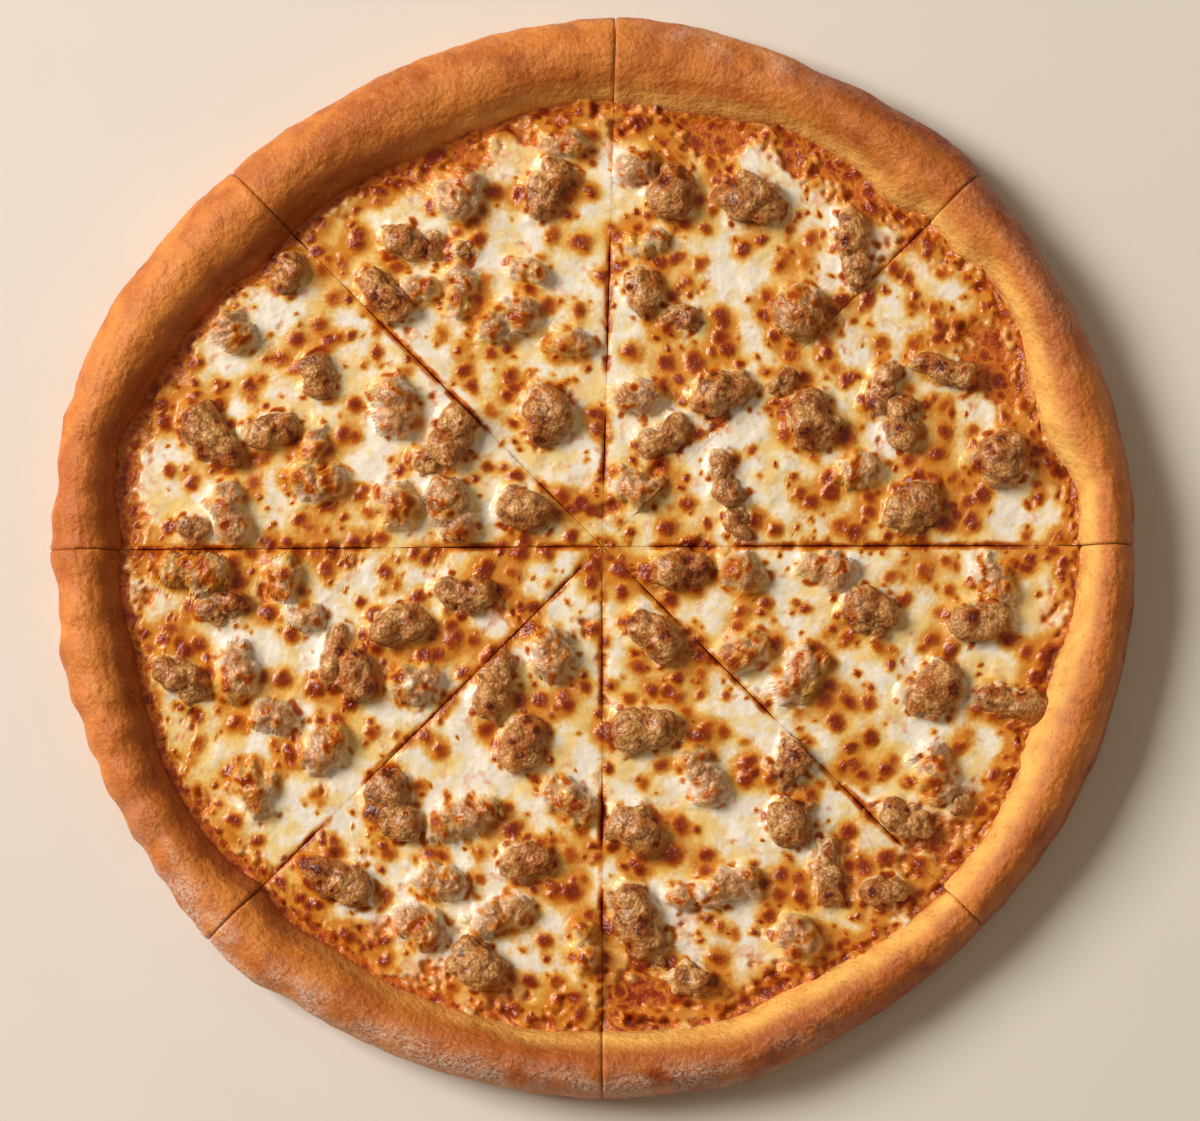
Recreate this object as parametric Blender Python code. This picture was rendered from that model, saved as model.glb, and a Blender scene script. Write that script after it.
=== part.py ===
"""A whole round pizza, cut in eight slices: crust, sauce, cheese and lumps of sausage.

Metres, +Z up. The origin is the middle of the pizza's outline, on the surface it rests on, and +Y is
its far side as it lies in front of somebody. The tables below are in millimetres and degrees.
"""

import math
import random
from collections import namedtuple

import bmesh
import bpy
from mathutils import Vector
from mathutils.bvhtree import BVHTree
from mathutils.noise import noise

MM = 0.001

# The four cuts cross here, a little off the middle of the pizza. Each slice is then pulled outwards.
CUT_CENTRE = (3.3, 3.4)
SLICE_SHIFT = 1.4

# Heights of the layers above the underside, and how far the cheese stops short of the crust's foot.
BASE_TOP = 9.0
LAYER_GAP = 0.3
SAUCE_THICKNESS = 1.6
CHEESE_THICKNESS = 2.4
CHEESE_INSET = 2.0
CHEESE_RELIEF = 0.5
CHEESE_RELIEF_SCALE = 14.0

# The raised rim: its crest, its widest height, and how far its lower edge tucks under.
CREST_HEIGHT = 25.5
CREST_WAVES = ((1.1, 3, 40.0), (0.8, 5, 200.0), (0.5, 11, 90.0))
CREST_SHARE = 0.47
WIDEST_HEIGHT = 10.0
UNDER_TUCK = 4.0
INNER_ROUNDNESS = 0.62
CRUST_RELIEF = 0.45
CRUST_RELIEF_SCALE = 17.0

# How finely each slice is divided.
STATIONS = 10
INNER_STEPS = 4
UPPER_STEPS = 4
LOWER_STEPS = 3
CHEESE_RINGS = 7
LUMP_RINGS = (1, 6, 12, 12)

# A lump of sausage: its height from its width, its knobs and where its body is cut flat.
LUMP_HEIGHT_SHARE = 0.43
LUMP_HEIGHT_EXTRA = 1.8
LUMP_SINK = 0.30
LUMP_POLAR_REACH = math.radians(112)
KNOB_SIZES = (0.72, 0.98)
KNOB_SWAY = 1.7
LUMP_CLEARANCE = 0.35
CUT_CLEARANCE = 0.2
FUSED_DEPTH = 0.8
SHRINK_STEPS = (1.0, 0.94, 0.88, 0.82, 0.76, 0.70, 0.64)

Slice = namedtuple("Slice", "number start end rim own fused")

# x, y, length and width in mm, the turn of the long side in degrees.
Lump = namedtuple("Lump", "x y length width turn")

# One entry for each slice, clockwise from the far cut. rim holds angle, outer radius and the radius of
# the crust's foot, read round the cut centre. own are the lumps that lie bare, each a piece of its
# own, and fused are the smaller ones and those that the cheese has run over.
SLICES = (
    Slice(
        1, 44.7, 88.5,
        ((44.7, 175.7, 151), (50, 175.7, 146), (58, 173.2, 149), (66, 172.1, 149), (73, 173.5, 146),
         (80, 174.5, 144), (88.5, 174.8, 145)),
        (Lump(52, 118, 20, 16, -10), Lump(86, 100, 28, 11, 104), Lump(68, 80, 17, 17, 120),
         Lump(26, 120, 19, 15, 80), Lump(46, 51, 21, 14, 25)),
        (Lump(17, 87, 16, 12, 110), Lump(29, 78, 13, 8, -15), Lump(14, 128, 14, 12, 0),
         Lump(18, 103, 15, 8, 15), Lump(15, 52, 16, 12, 0), Lump(24, 39, 19, 11, 28),
         Lump(16, 22, 18, 13, -35)),
    ),
    Slice(
        2, 0.1, 44.7,
        ((0.1, 174.7, 155), (6, 174.7, 156), (15, 174, 148), (20, 173.7, 149), (28, 173.2, 153.5),
         (35, 173.4, 154), (40, 173.7, 150), (44.7, 174.7, 150.5)),
        (Lump(73, 45, 20, 17, 100), Lump(102, 44, 19, 12, 95), Lump(115, 61, 22, 10, -12),
         Lump(132, 33, 19, 17, 60), Lump(105, 16, 20, 16, 40)),
        (Lump(62, 57, 10, 10, 0), Lump(95, 55, 19, 9, 65), Lump(87, 28, 15, 10, 20),
         Lump(43, 25, 20, 10, 115), Lump(48, 11, 12, 8, 110)),
    ),
    Slice(
        3, -45.0, 0.1,
        ((-45.0, 176, 156.4), (-38, 176, 156), (-30, 176, 154), (-24, 176, 151), (-15, 175.7, 152),
         (-8, 175.2, 155), (0.1, 174.7, 156)),
        (Lump(90, -19, 18, 14, -40), Lump(127, -21, 21, 13, 5), Lump(112, -44, 20, 15, 60),
         Lump(137, -47, 25, 12, -10)),
        (Lump(29, -4, 19, 13, 15), Lump(49, -5, 16, 12, -20), Lump(77, -4, 18, 12, -15),
         Lump(132, -7, 17, 11, -50), Lump(68, -40, 20, 14, 45), Lump(49, -31, 18, 14, 30),
         Lump(112, -71, 20, 13, -65), Lump(102, -86, 18, 12, -30), Lump(120, -80, 10, 7, 80)),
    ),
    Slice(
        4, -90.0, -45.0,
        ((-90.0, 180.4, 157.5), (-84, 180.1, 158), (-75, 181.3, 159), (-68, 179.3, 156.4),
         (-61, 177.5, 156), (-54, 176.6, 157), (-45.0, 176, 158)),
        (Lump(21, -26, 21, 13, -35), Lump(17, -57, 22, 16, -5), Lump(65, -87, 16, 15, 60),
         Lump(13, -88, 19, 16, -20), Lump(13, -121, 26, 15, -55)),
        (Lump(37, -71, 22, 12, -65), Lump(66, -66, 20, 13, 60), Lump(44, -108, 23, 13, 15),
         Lump(32, -138, 15, 11, -10), Lump(67, -125, 17, 14, -60), Lump(77, -103, 23, 9, 100),
         Lump(95, -109, 16, 11, 20), Lump(29, -111, 11, 8, 0)),
    ),
    Slice(
        5, -135.0, -90.0,
        ((-135.0, 182.4, 157), (-130, 182.9, 158.7), (-124, 180.3, 157), (-115, 179.6, 158),
         (-106, 179.6, 157.5), (-98, 180, 158.5), (-90.0, 180.4, 157.5)),
        (Lump(-33, -41, 23, 12, 75), Lump(-23, -61, 18, 15, 60), Lump(-65, -81, 25, 16, 115),
         Lump(-83, -106, 23, 13, -25), Lump(-38, -132, 19, 15, -20)),
        (Lump(-13, -32, 18, 14, 95), Lump(-7, -80, 20, 12, -45), Lump(-42, -86, 24, 12, 15),
         Lump(-21, -99, 18, 13, 10), Lump(-49, -106, 17, 12, -25), Lump(-56, -120, 18, 14, -30),
         Lump(-30, -117, 21, 12, 15), Lump(-2, -127, 18, 8, 92)),
    ),
    Slice(
        6, -179.6, -135.0,
        ((-179.6, 181, 157), (-174, 180, 158), (-168, 181.3, 156.4), (-160, 180.3, 157.4),
         (-153, 180.6, 159.5), (-145, 180.6, 159.5), (-139, 181.6, 158.5), (-135.0, 182.6, 155.8)),
        (Lump(-130, -6, 23, 13, -5), Lump(-77, -39, 18, 12, 100), Lump(-41, -12, 20, 12, -10),
         Lump(-134, -41, 21, 13, -15)),
        (Lump(-121, -16, 17, 11, 20), Lump(-101, -7, 15, 12, 100), Lump(-63, -23, 20, 14, 10),
         Lump(-84, -32, 21, 8, 75), Lump(-116, -38, 19, 14, 80), Lump(-104, -52, 15, 12, 0),
         Lump(-87, -63, 18, 14, 60), Lump(-109, -76, 18, 12, -60), Lump(-58, -42, 18, 13, 0),
         Lump(-94, -20, 13, 9, 0)),
    ),
    Slice(
        7, -225.3, -179.6,
        ((-225.3, 173.7, 144), (-220, 175.4, 144), (-213, 176.7, 149.2), (-206, 179.6, 152),
         (-198, 181, 156.4), (-192, 182, 161), (-187, 180.3, 160), (-179.6, 181.3, 156.4)),
        (Lump(-125, 40, 24, 15, -60), Lump(-105, 41, 19, 11, 15), Lump(-47, 42, 21, 15, 60),
         Lump(-46, 15, 22, 15, -80), Lump(-22, 16, 18, 14, -25)),
        (Lump(-100, 93, 14, 11, 80), Lump(-117, 74, 15, 13, 0), Lump(-89, 59, 16, 11, -75),
         Lump(-91, 36, 13, 9, 70), Lump(-90, 24, 19, 13, -15), Lump(-65, 49, 20, 15, 80),
         Lump(-64, 17, 17, 14, -70), Lump(-119, 14, 21, 12, -70), Lump(-130, 9, 11, 10, 0),
         Lump(-54, 31, 10, 8, 0)),
    ),
    Slice(
        8, -271.5, -225.3,
        ((-271.5, 174.8, 146), (-263, 172.8, 144.6), (-253, 171.8, 142), (-245, 171.5, 140.5),
         (-239, 171.1, 142.7), (-232, 172.4, 144), (-225.3, 173.4, 144)),
        (Lump(-61, 103, 14, 12, 0), Lump(-69, 84, 20, 12, -50), Lump(-14, 121, 22, 14, 65)),
        (Lump(-52, 102, 10, 6, 90), Lump(-42, 100, 8, 7, 0), Lump(-43, 87, 18, 10, 95),
         Lump(-44, 119, 18, 14, 80), Lump(-10, 136, 17, 10, 0), Lump(-27, 77, 21, 14, 35),
         Lump(-7, 70, 14, 10, 0), Lump(-21, 94, 14, 8, -20), Lump(-15, 46, 19, 16, 80),
         Lump(-56, 88, 12, 10, 0)),
    ),
)

# Colours as linear RGB, with a roughness for each.
CRUST_LOOK = ((0.56, 0.25, 0.08), 0.7)
SAUCE_LOOK = ((0.42, 0.05, 0.012), 0.35)
CHEESE_LOOK = ((0.82, 0.62, 0.32), 0.4)
SAUSAGE_LOOK = ((0.34, 0.17, 0.07), 0.55)


def clear_scene():
    """Removes every object that the file opened with."""
    for old in list(bpy.data.objects):
        bpy.data.objects.remove(old)


def material(name, look):
    """A plain material of one colour and roughness."""
    colour, roughness = look
    made = bpy.data.materials.new(name)
    made.use_nodes = True
    shader = made.node_tree.nodes["Principled BSDF"]
    shader.inputs["Base Color"].default_value = (*colour, 1)
    shader.inputs["Roughness"].default_value = roughness
    shader.inputs["Metallic"].default_value = 0
    return made


def blend(share):
    """0 to 1 with a soft start and end."""
    return share * share * (3 - 2 * share)


def read_rim(rim, angle):
    """Outer radius and foot radius at an angle, read smoothly between the table's rows."""
    for (angle_a, outer_a, foot_a), (angle_b, outer_b, foot_b) in zip(rim, rim[1:]):
        if angle <= angle_b:
            share = blend(max(0.0, (angle - angle_a) / (angle_b - angle_a)))
            return outer_a + (outer_b - outer_a) * share, foot_a + (foot_b - foot_a) * share
    return rim[-1][1], rim[-1][2]


def tip_of(piece):
    """Where the tip of a slice lies, in mm: the cut centre moved along the slice's middle line."""
    middle = math.radians((piece.start + piece.end) / 2)
    return Vector((
        CUT_CENTRE[0] + SLICE_SHIFT * math.cos(middle),
        CUT_CENTRE[1] + SLICE_SHIFT * math.sin(middle),
        0.0,
    ))


def place(piece, angle, radius, height):
    """The point at a radius, read round the cut centre, and a height on a slice, in mm."""
    turn = math.radians(angle)
    reach = radius - SLICE_SHIFT
    return tip_of(piece) + Vector((reach * math.cos(turn), reach * math.sin(turn), height))


def stations(piece):
    """The angles at which a slice is sampled."""
    step = (piece.end - piece.start) / STATIONS
    return [piece.start + step * i for i in range(STATIONS + 1)]


def crest_height(angle):
    """Height of the rim's crest, which rises and falls round the pizza."""
    waves = sum(
        size * math.sin(math.radians(count * angle + phase)) for size, count, phase in CREST_WAVES
    )
    return CREST_HEIGHT + waves


def crust_section(piece, angle):
    """Radius and height of the crust from its floor near the tip, over the rim, to the underside."""
    outer, foot = read_rim(piece.rim, angle)
    crest = crest_height(angle)
    crest_radius = outer - CREST_SHARE * (outer - foot)
    section = [(foot * 0.5, BASE_TOP), (foot, BASE_TOP)]
    for i in range(1, INNER_STEPS + 1):
        share = i / INNER_STEPS
        rise = (1 - (1 - share) ** 2) ** INNER_ROUNDNESS
        section.append((foot + share * (crest_radius - foot), BASE_TOP + rise * (crest - BASE_TOP)))
    for i in range(1, UPPER_STEPS + 1):
        turn = math.radians(90 * (1 - i / UPPER_STEPS))
        section.append((
            crest_radius + (outer - crest_radius) * math.cos(turn),
            WIDEST_HEIGHT + (crest - WIDEST_HEIGHT) * math.sin(turn),
        ))
    for i in range(1, LOWER_STEPS + 1):
        turn = math.radians(90 * i / LOWER_STEPS)
        section.append((outer - UNDER_TUCK * (1 - math.cos(turn)), WIDEST_HEIGHT * (1 - math.sin(turn))))
    return section


def sauce_section(piece, angle):
    """Radius and height of the sauce: a thin slab from the tip to the crust's foot."""
    foot = read_rim(piece.rim, angle)[1] - LAYER_GAP
    bottom = BASE_TOP + LAYER_GAP
    return [(foot * 0.5, bottom + SAUCE_THICKNESS), (foot, bottom + SAUCE_THICKNESS), (foot, bottom)]


def cheese_section(piece, angle):
    """Radius and height of the cheese: even along the cuts and thinner at its edge."""
    edge = read_rim(piece.rim, angle)[1] - CHEESE_INSET
    bottom = BASE_TOP + LAYER_GAP + SAUCE_THICKNESS + LAYER_GAP
    calm = math.sin(math.pi * (angle - piece.start) / (piece.end - piece.start))
    section = []
    for i in range(1, CHEESE_RINGS + 1):
        radius = edge * i / CHEESE_RINGS
        point = place(piece, angle, radius, 0) / CHEESE_RELIEF_SCALE
        thickness = CHEESE_THICKNESS + CHEESE_RELIEF * calm * noise(point)
        if i == CHEESE_RINGS:
            thickness *= 0.5
        section.append((radius, bottom + thickness))
    section.append((edge, bottom))
    return section


def crust_relief(point):
    """The point moved in or out a little, for the dough's uneven skin, and never below the floor."""
    if point.z <= BASE_TOP:
        return point
    rise = (point.z - BASE_TOP) / (CREST_HEIGHT - BASE_TOP)
    point.z += CRUST_RELIEF * noise(point / CRUST_RELIEF_SCALE) * rise
    return point


def wedge(name, piece, section, relief=None):
    """A closed wedge from a section that runs from near the tip, over the top, to the bottom edge.

    The two cut sides are flat, and top and bottom meet in a vertical edge at the tip.
    """
    shape = bmesh.new()
    rows = []
    for angle in stations(piece):
        row = []
        for radius, height in section(piece, angle):
            point = place(piece, angle, radius, height)
            if relief:
                point = relief(point)
            row.append(shape.verts.new(point * MM))
        rows.append(row)
    tip = tip_of(piece)
    tip_top = shape.verts.new(Vector((tip.x, tip.y, rows[0][0].co.z / MM)) * MM)
    tip_bottom = shape.verts.new(Vector((tip.x, tip.y, rows[0][-1].co.z / MM)) * MM)
    for first, second in zip(rows, rows[1:]):
        shape.faces.new((tip_top, first[0], second[0]))
        shape.faces.new((tip_bottom, second[-1], first[-1]))
        for j in range(len(first) - 1):
            shape.faces.new((first[j], first[j + 1], second[j + 1], second[j]))
    for row in (rows[0], rows[-1]):
        corner = row[-1]
        side = [tip_bottom, tip_top, *row[:-1]]
        for a, b in zip(side, side[1:]):
            shape.faces.new((corner, a, b))
    bmesh.ops.triangulate(shape, faces=shape.faces)
    bmesh.ops.recalc_face_normals(shape, faces=shape.faces)
    return finish_object(name, shape)


def finish_object(name, shape):
    """A named object in the scene from a bmesh, with smooth shading across its soft edges."""
    mesh = bpy.data.meshes.new(name)
    shape.to_mesh(mesh)
    shape.free()
    made = bpy.data.objects.new(name, mesh)
    bpy.context.scene.collection.objects.link(made)
    mesh.shade_smooth()
    mesh.set_sharp_from_angle(angle=math.radians(50))
    return made


def knobs_of(lump, seed):
    """The round knobs that a lump is made of: centre along, centre across, centre up and radius."""
    draw = random.Random(seed)
    half_length, half_width = lump.length / 2, lump.width / 2
    count = max(3, round(2.2 * lump.length / lump.width))
    knobs = []
    for i in range(count):
        radius = half_width * draw.uniform(*KNOB_SIZES)
        along = (2 * i / (count - 1) - 1) * (half_length - radius)
        across = draw.uniform(-1, 1) * (half_width - radius) * KNOB_SWAY
        up = draw.uniform(-0.15, 0.25) * radius
        knobs.append((along, across, up, radius))
    return knobs


def reach_of(direction, knobs):
    """How far a ray from the lump's middle goes before it leaves the last knob."""
    farthest = 0.0
    for along, across, up, radius in knobs:
        centre = Vector((along, across, up))
        near = direction.dot(centre)
        inside = near * near - centre.length_squared + radius * radius
        if inside > 0:
            farthest = max(farthest, near + math.sqrt(inside))
    return farthest


def lump_height(lump):
    """How far a lump stands above its floor, in mm."""
    return lump.width * LUMP_HEIGHT_SHARE + LUMP_HEIGHT_EXTRA


def lump_points(lump, seed, scale):
    """Rings of points over a lump, from its top to just under its widest line, in mm from its floor."""
    knobs = knobs_of(lump, seed)
    half_width = lump.width / 2
    flatten = lump_height(lump) * (1 - LUMP_SINK) / half_width
    floor = lump_height(lump) * LUMP_SINK
    turn = math.radians(lump.turn)
    points = []
    for ring, count in enumerate(LUMP_RINGS):
        polar = LUMP_POLAR_REACH * ring / (len(LUMP_RINGS) - 1)
        for i in range(count):
            round_angle = 2 * math.pi * i / count
            direction = Vector((
                math.sin(polar) * math.cos(round_angle),
                math.sin(polar) * math.sin(round_angle),
                math.cos(polar),
            ))
            point = direction * reach_of(direction, knobs)
            height = max(0.0, point.z * flatten + floor)
            points.append(Vector((
                scale * (point.x * math.cos(turn) - point.y * math.sin(turn)),
                scale * (point.x * math.sin(turn) + point.y * math.cos(turn)),
                scale * height,
            )))
    for point in points[-LUMP_RINGS[-1]:]:
        point.z = 0.0
    return points


def lump_faces():
    """Triangles between neighbouring rings of lump_points, and one flat face below."""
    faces = []
    first = 0
    for inner, outer in zip(LUMP_RINGS, LUMP_RINGS[1:]):
        second = first + inner
        for k in range(outer):
            a = k * inner // outer
            b = (k + 1) * inner // outer
            faces.append((first + a % inner, second + k, second + (k + 1) % outer))
            if a != b and inner > 1:
                faces.append((first + a % inner, second + (k + 1) % outer, first + b % inner))
        first = second
    faces.append(tuple(first + i for i in reversed(range(LUMP_RINGS[-1]))))
    return faces


def keep_in_slice(piece, points):
    """The sideways move, in mm, that brings every point of a lump inside its slice's two cuts."""
    tip = tip_of(piece)
    move = Vector((0, 0, 0))
    for angle, side in ((piece.start, 1), (piece.end, -1)):
        turn = math.radians(angle)
        inward = Vector((-math.sin(turn), math.cos(turn), 0)) * side
        nearest = min((point + move - tip).dot(inward) for point in points)
        if nearest < CUT_CLEARANCE:
            move += inward * (CUT_CLEARANCE - nearest)
    return move


def tree_of(made):
    """A search tree of an object's triangles."""
    mesh = made.data
    return BVHTree.FromPolygons([v.co for v in mesh.vertices], [p.vertices for p in mesh.polygons])


def top_under(points, middle, tree, vertices):
    """The greatest height of a surface under a lump's outline, in metres."""
    reach = max((point - middle).xy.length for point in points) * MM
    centre = middle.xy * MM
    heights = [v.z for v in vertices if (v.xy - centre).length <= reach]
    for point in points:
        hit = tree.ray_cast(Vector((point.x * MM, point.y * MM, 1.0)), Vector((0, 0, -1)))[0]
        if hit:
            heights.append(hit.z)
    return max(heights)


def lump_object(name, piece, lump, seed, ground, obstacles, sunk):
    """A lump on its slice's cheese, made smaller until it is clear of its neighbours, or None.

    ground is the cheese without its fused lumps. A sunk lump reaches into it, to be fused.
    """
    tree, vertices = ground
    for scale in SHRINK_STEPS:
        outline = [p + Vector((lump.x, lump.y, 0)) for p in lump_points(lump, seed, scale)]
        move = keep_in_slice(piece, outline)
        outline = [p + move for p in outline]
        middle = Vector((lump.x, lump.y, 0)) + move
        top = top_under(outline, middle, tree, vertices) / MM
        floor = top - FUSED_DEPTH if sunk else top + LUMP_CLEARANCE
        points = [Vector((p.x, p.y, p.z + floor)) for p in outline]
        core = middle + Vector((0, 0, floor + lump_height(lump) * LUMP_SINK))
        swollen = [p + (p - core).normalized() * LUMP_CLEARANCE for p in points]
        skin = BVHTree.FromPolygons([p * MM for p in swollen], lump_faces())
        if any(skin.overlap(other) for other in obstacles):
            continue
        shape = bmesh.new()
        corners = [shape.verts.new(p * MM) for p in points]
        for face in lump_faces():
            shape.faces.new([corners[i] for i in face])
        bmesh.ops.triangulate(shape, faces=shape.faces)
        bmesh.ops.recalc_face_normals(shape, faces=shape.faces)
        return finish_object(name, shape)
    return None


def fuse(target, pieces):
    """Joins pieces to target for good, with one Boolean union over their collection."""
    group = bpy.data.collections.new(target.name + "_joined")
    for piece in pieces:
        group.objects.link(piece)
    union = target.modifiers.new("union", "BOOLEAN")
    union.operation = "UNION"
    union.operand_type = "COLLECTION"
    union.collection = group
    union.solver = "EXACT"
    depsgraph = bpy.context.evaluated_depsgraph_get()
    depsgraph.update()
    joined = bpy.data.meshes.new_from_object(target.evaluated_get(depsgraph))
    target.modifiers.remove(union)
    target.data = joined
    for piece in pieces:
        bpy.data.objects.remove(piece)
    bpy.data.collections.remove(group)


def build_slice(piece, looks, obstacles):
    """Crust, sauce, cheese and lumps of one slice. obstacles grows with what the lumps must clear."""
    crust = wedge(f"crust_{piece.number}", piece, crust_section, crust_relief)
    sauce = wedge(f"sauce_{piece.number}", piece, sauce_section)
    cheese = wedge(f"cheese_{piece.number}", piece, cheese_section)
    obstacles.append(tree_of(crust))
    ground = (tree_of(cheese), [v.co.copy() for v in cheese.data.vertices])
    made = [(crust, "crust"), (sauce, "sauce"), (cheese, "cheese")]
    for i, lump in enumerate(piece.own, start=1):
        name = f"sausage_{piece.number}_{i}"
        own = lump_object(name, piece, lump, piece.number * 100 + i, ground, obstacles, False)
        if own:
            obstacles.append(tree_of(own))
            made.append((own, "sausage"))
    fused = []
    for i, lump in enumerate(piece.fused, start=1):
        name = f"sausage_{piece.number}_fused_{i}"
        seed = piece.number * 100 + 50 + i
        part = lump_object(name, piece, lump, seed, ground, obstacles, True)
        if part:
            fused.append(part)
    fuse(cheese, fused)
    for part, look in made:
        part.data.materials.clear()
        part.data.materials.append(looks[look])
    return [part for part, look in made]


def centre_outline(parts):
    """Moves every part alike, so that the origin is the middle of the outline seen from above."""
    corners = [v.co for part in parts for v in part.data.vertices]
    low = Vector((min(c.x for c in corners), min(c.y for c in corners), 0))
    high = Vector((max(c.x for c in corners), max(c.y for c in corners), 0))
    middle = (low + high) / 2
    for part in parts:
        for vertex in part.data.vertices:
            vertex.co -= middle


def main():
    clear_scene()
    looks = {
        "crust": material("baked_crust", CRUST_LOOK),
        "sauce": material("tomato_sauce", SAUCE_LOOK),
        "cheese": material("melted_cheese", CHEESE_LOOK),
        "sausage": material("sausage", SAUSAGE_LOOK),
    }
    obstacles = []
    parts = []
    for piece in SLICES:
        parts += build_slice(piece, looks, obstacles)
    centre_outline(parts)


main()
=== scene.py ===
import itertools
import math
import random
from collections import namedtuple

import bpy
import numpy as np
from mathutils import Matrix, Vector


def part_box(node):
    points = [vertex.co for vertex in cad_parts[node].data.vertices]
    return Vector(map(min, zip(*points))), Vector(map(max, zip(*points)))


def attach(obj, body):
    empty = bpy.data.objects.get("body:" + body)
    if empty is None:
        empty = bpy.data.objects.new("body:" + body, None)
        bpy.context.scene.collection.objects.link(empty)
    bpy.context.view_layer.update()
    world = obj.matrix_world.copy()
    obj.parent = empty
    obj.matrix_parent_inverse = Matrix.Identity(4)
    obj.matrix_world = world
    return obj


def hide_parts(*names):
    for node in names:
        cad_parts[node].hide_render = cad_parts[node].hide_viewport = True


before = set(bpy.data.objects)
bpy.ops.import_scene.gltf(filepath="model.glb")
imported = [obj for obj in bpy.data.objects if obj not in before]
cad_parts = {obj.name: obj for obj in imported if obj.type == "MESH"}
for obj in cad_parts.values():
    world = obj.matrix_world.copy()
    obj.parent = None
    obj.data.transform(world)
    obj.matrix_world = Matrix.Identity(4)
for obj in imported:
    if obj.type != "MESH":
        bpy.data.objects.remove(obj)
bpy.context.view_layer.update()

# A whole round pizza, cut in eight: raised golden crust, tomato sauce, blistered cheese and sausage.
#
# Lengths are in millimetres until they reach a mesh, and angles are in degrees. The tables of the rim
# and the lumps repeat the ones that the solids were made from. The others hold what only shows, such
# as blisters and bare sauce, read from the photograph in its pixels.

MM = 0.001

# The photograph: its size, the pixel at the middle of the pizza's outline, and the length of a pixel.
PHOTO_SIZE = (1200, 1121)
PHOTO_MIDDLE = (592.0, 555.2)
PIXEL = 0.3272

# The cuts, the layers and the rim, as in the solids.
CUT_CENTRE = (3.3, 2.83)
TABLE_SHIFT = (0.0, -0.57)
SLICE_SHIFT = 1.4
BASE_TOP = 9.0
SAUCE_TOP = 10.9
CHEESE_BOTTOM = 11.2
CHEESE_TOP = 13.6
CREST_HEIGHT = 25.5
CREST_WAVES = ((1.1, 3, 40.0), (0.8, 5, 200.0), (0.5, 11, 90.0))
CREST_SHARE = 0.47
WIDEST_HEIGHT = 10.0
UNDER_TUCK = 4.0
INNER_ROUNDNESS = 0.62
RIM_RADIUS = 176

# How fine the meshes are: the cheese's and the crust's cells, and the rings on a lump.
CHEESE_CELL = 0.62
CRUST_CELL = 0.85
LUMP_RINGS = 26
LUMP_POLAR_REACH = math.radians(116)

# A lump of sausage, as in the solids, and its smaller knobs.
LUMP_HEIGHT_SHARE = 0.43
LUMP_HEIGHT_EXTRA = 1.8
LUMP_SINK = 0.30
LUMP_BED = 13.1
KNOB_SIZES = (0.72, 0.98)
KNOB_SWAY = 1.7
KNOB_JOIN = 14
SMALL_KNOBS = 11
SMALL_KNOB_SIZES = (0.22, 0.44)

# A lump with a coat above this has the cheese all over it, and this is how softly the cheese meets one.
COVERED = 0.42
MELT = 2.2

# Small blisters beside the ones in the table: how many lie all over and how far out, and how many lie at
# each slice's rim.
BLISTER_COUNT = 2100
BLISTER_REACH = 157
RIM_BLISTERS = 26

# How far the cheese sags into a cut, and how far it runs into the crust and climbs it.
CUT_SAG = 0.7
CUT_SAG_WIDTH = 2.1
EDGE_IN_CRUST = 2.0
EDGE_CLIMB = 0.9

# How far the cheese's tips reach in over the place where the cuts cross, the most that a slice bulges
# into a cut, what the crust does, and how far lumps keep off one.
TIP_REACH = 1.25
MOST_OOZE = 0.5
CRUST_OOZE = 0.40
CUT_CLEARANCE = 0.1

# The cut that has grown together again: its angle and the radii between which it has.
HEALED_CUT = (44.6, 14, 112)

# The side of the rim that faces away from the light, which falls from the upper left.
SHADED_SIDE = -25

Slice = namedtuple("Slice", "number start end rim own fused")

# x, y, length, width and turn of the long side. coat is how far the cheese has run over the lump, from 0
# for a bare one to 1 for one that is quite covered.
Lump = namedtuple("Lump", "x y length width turn coat")

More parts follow.
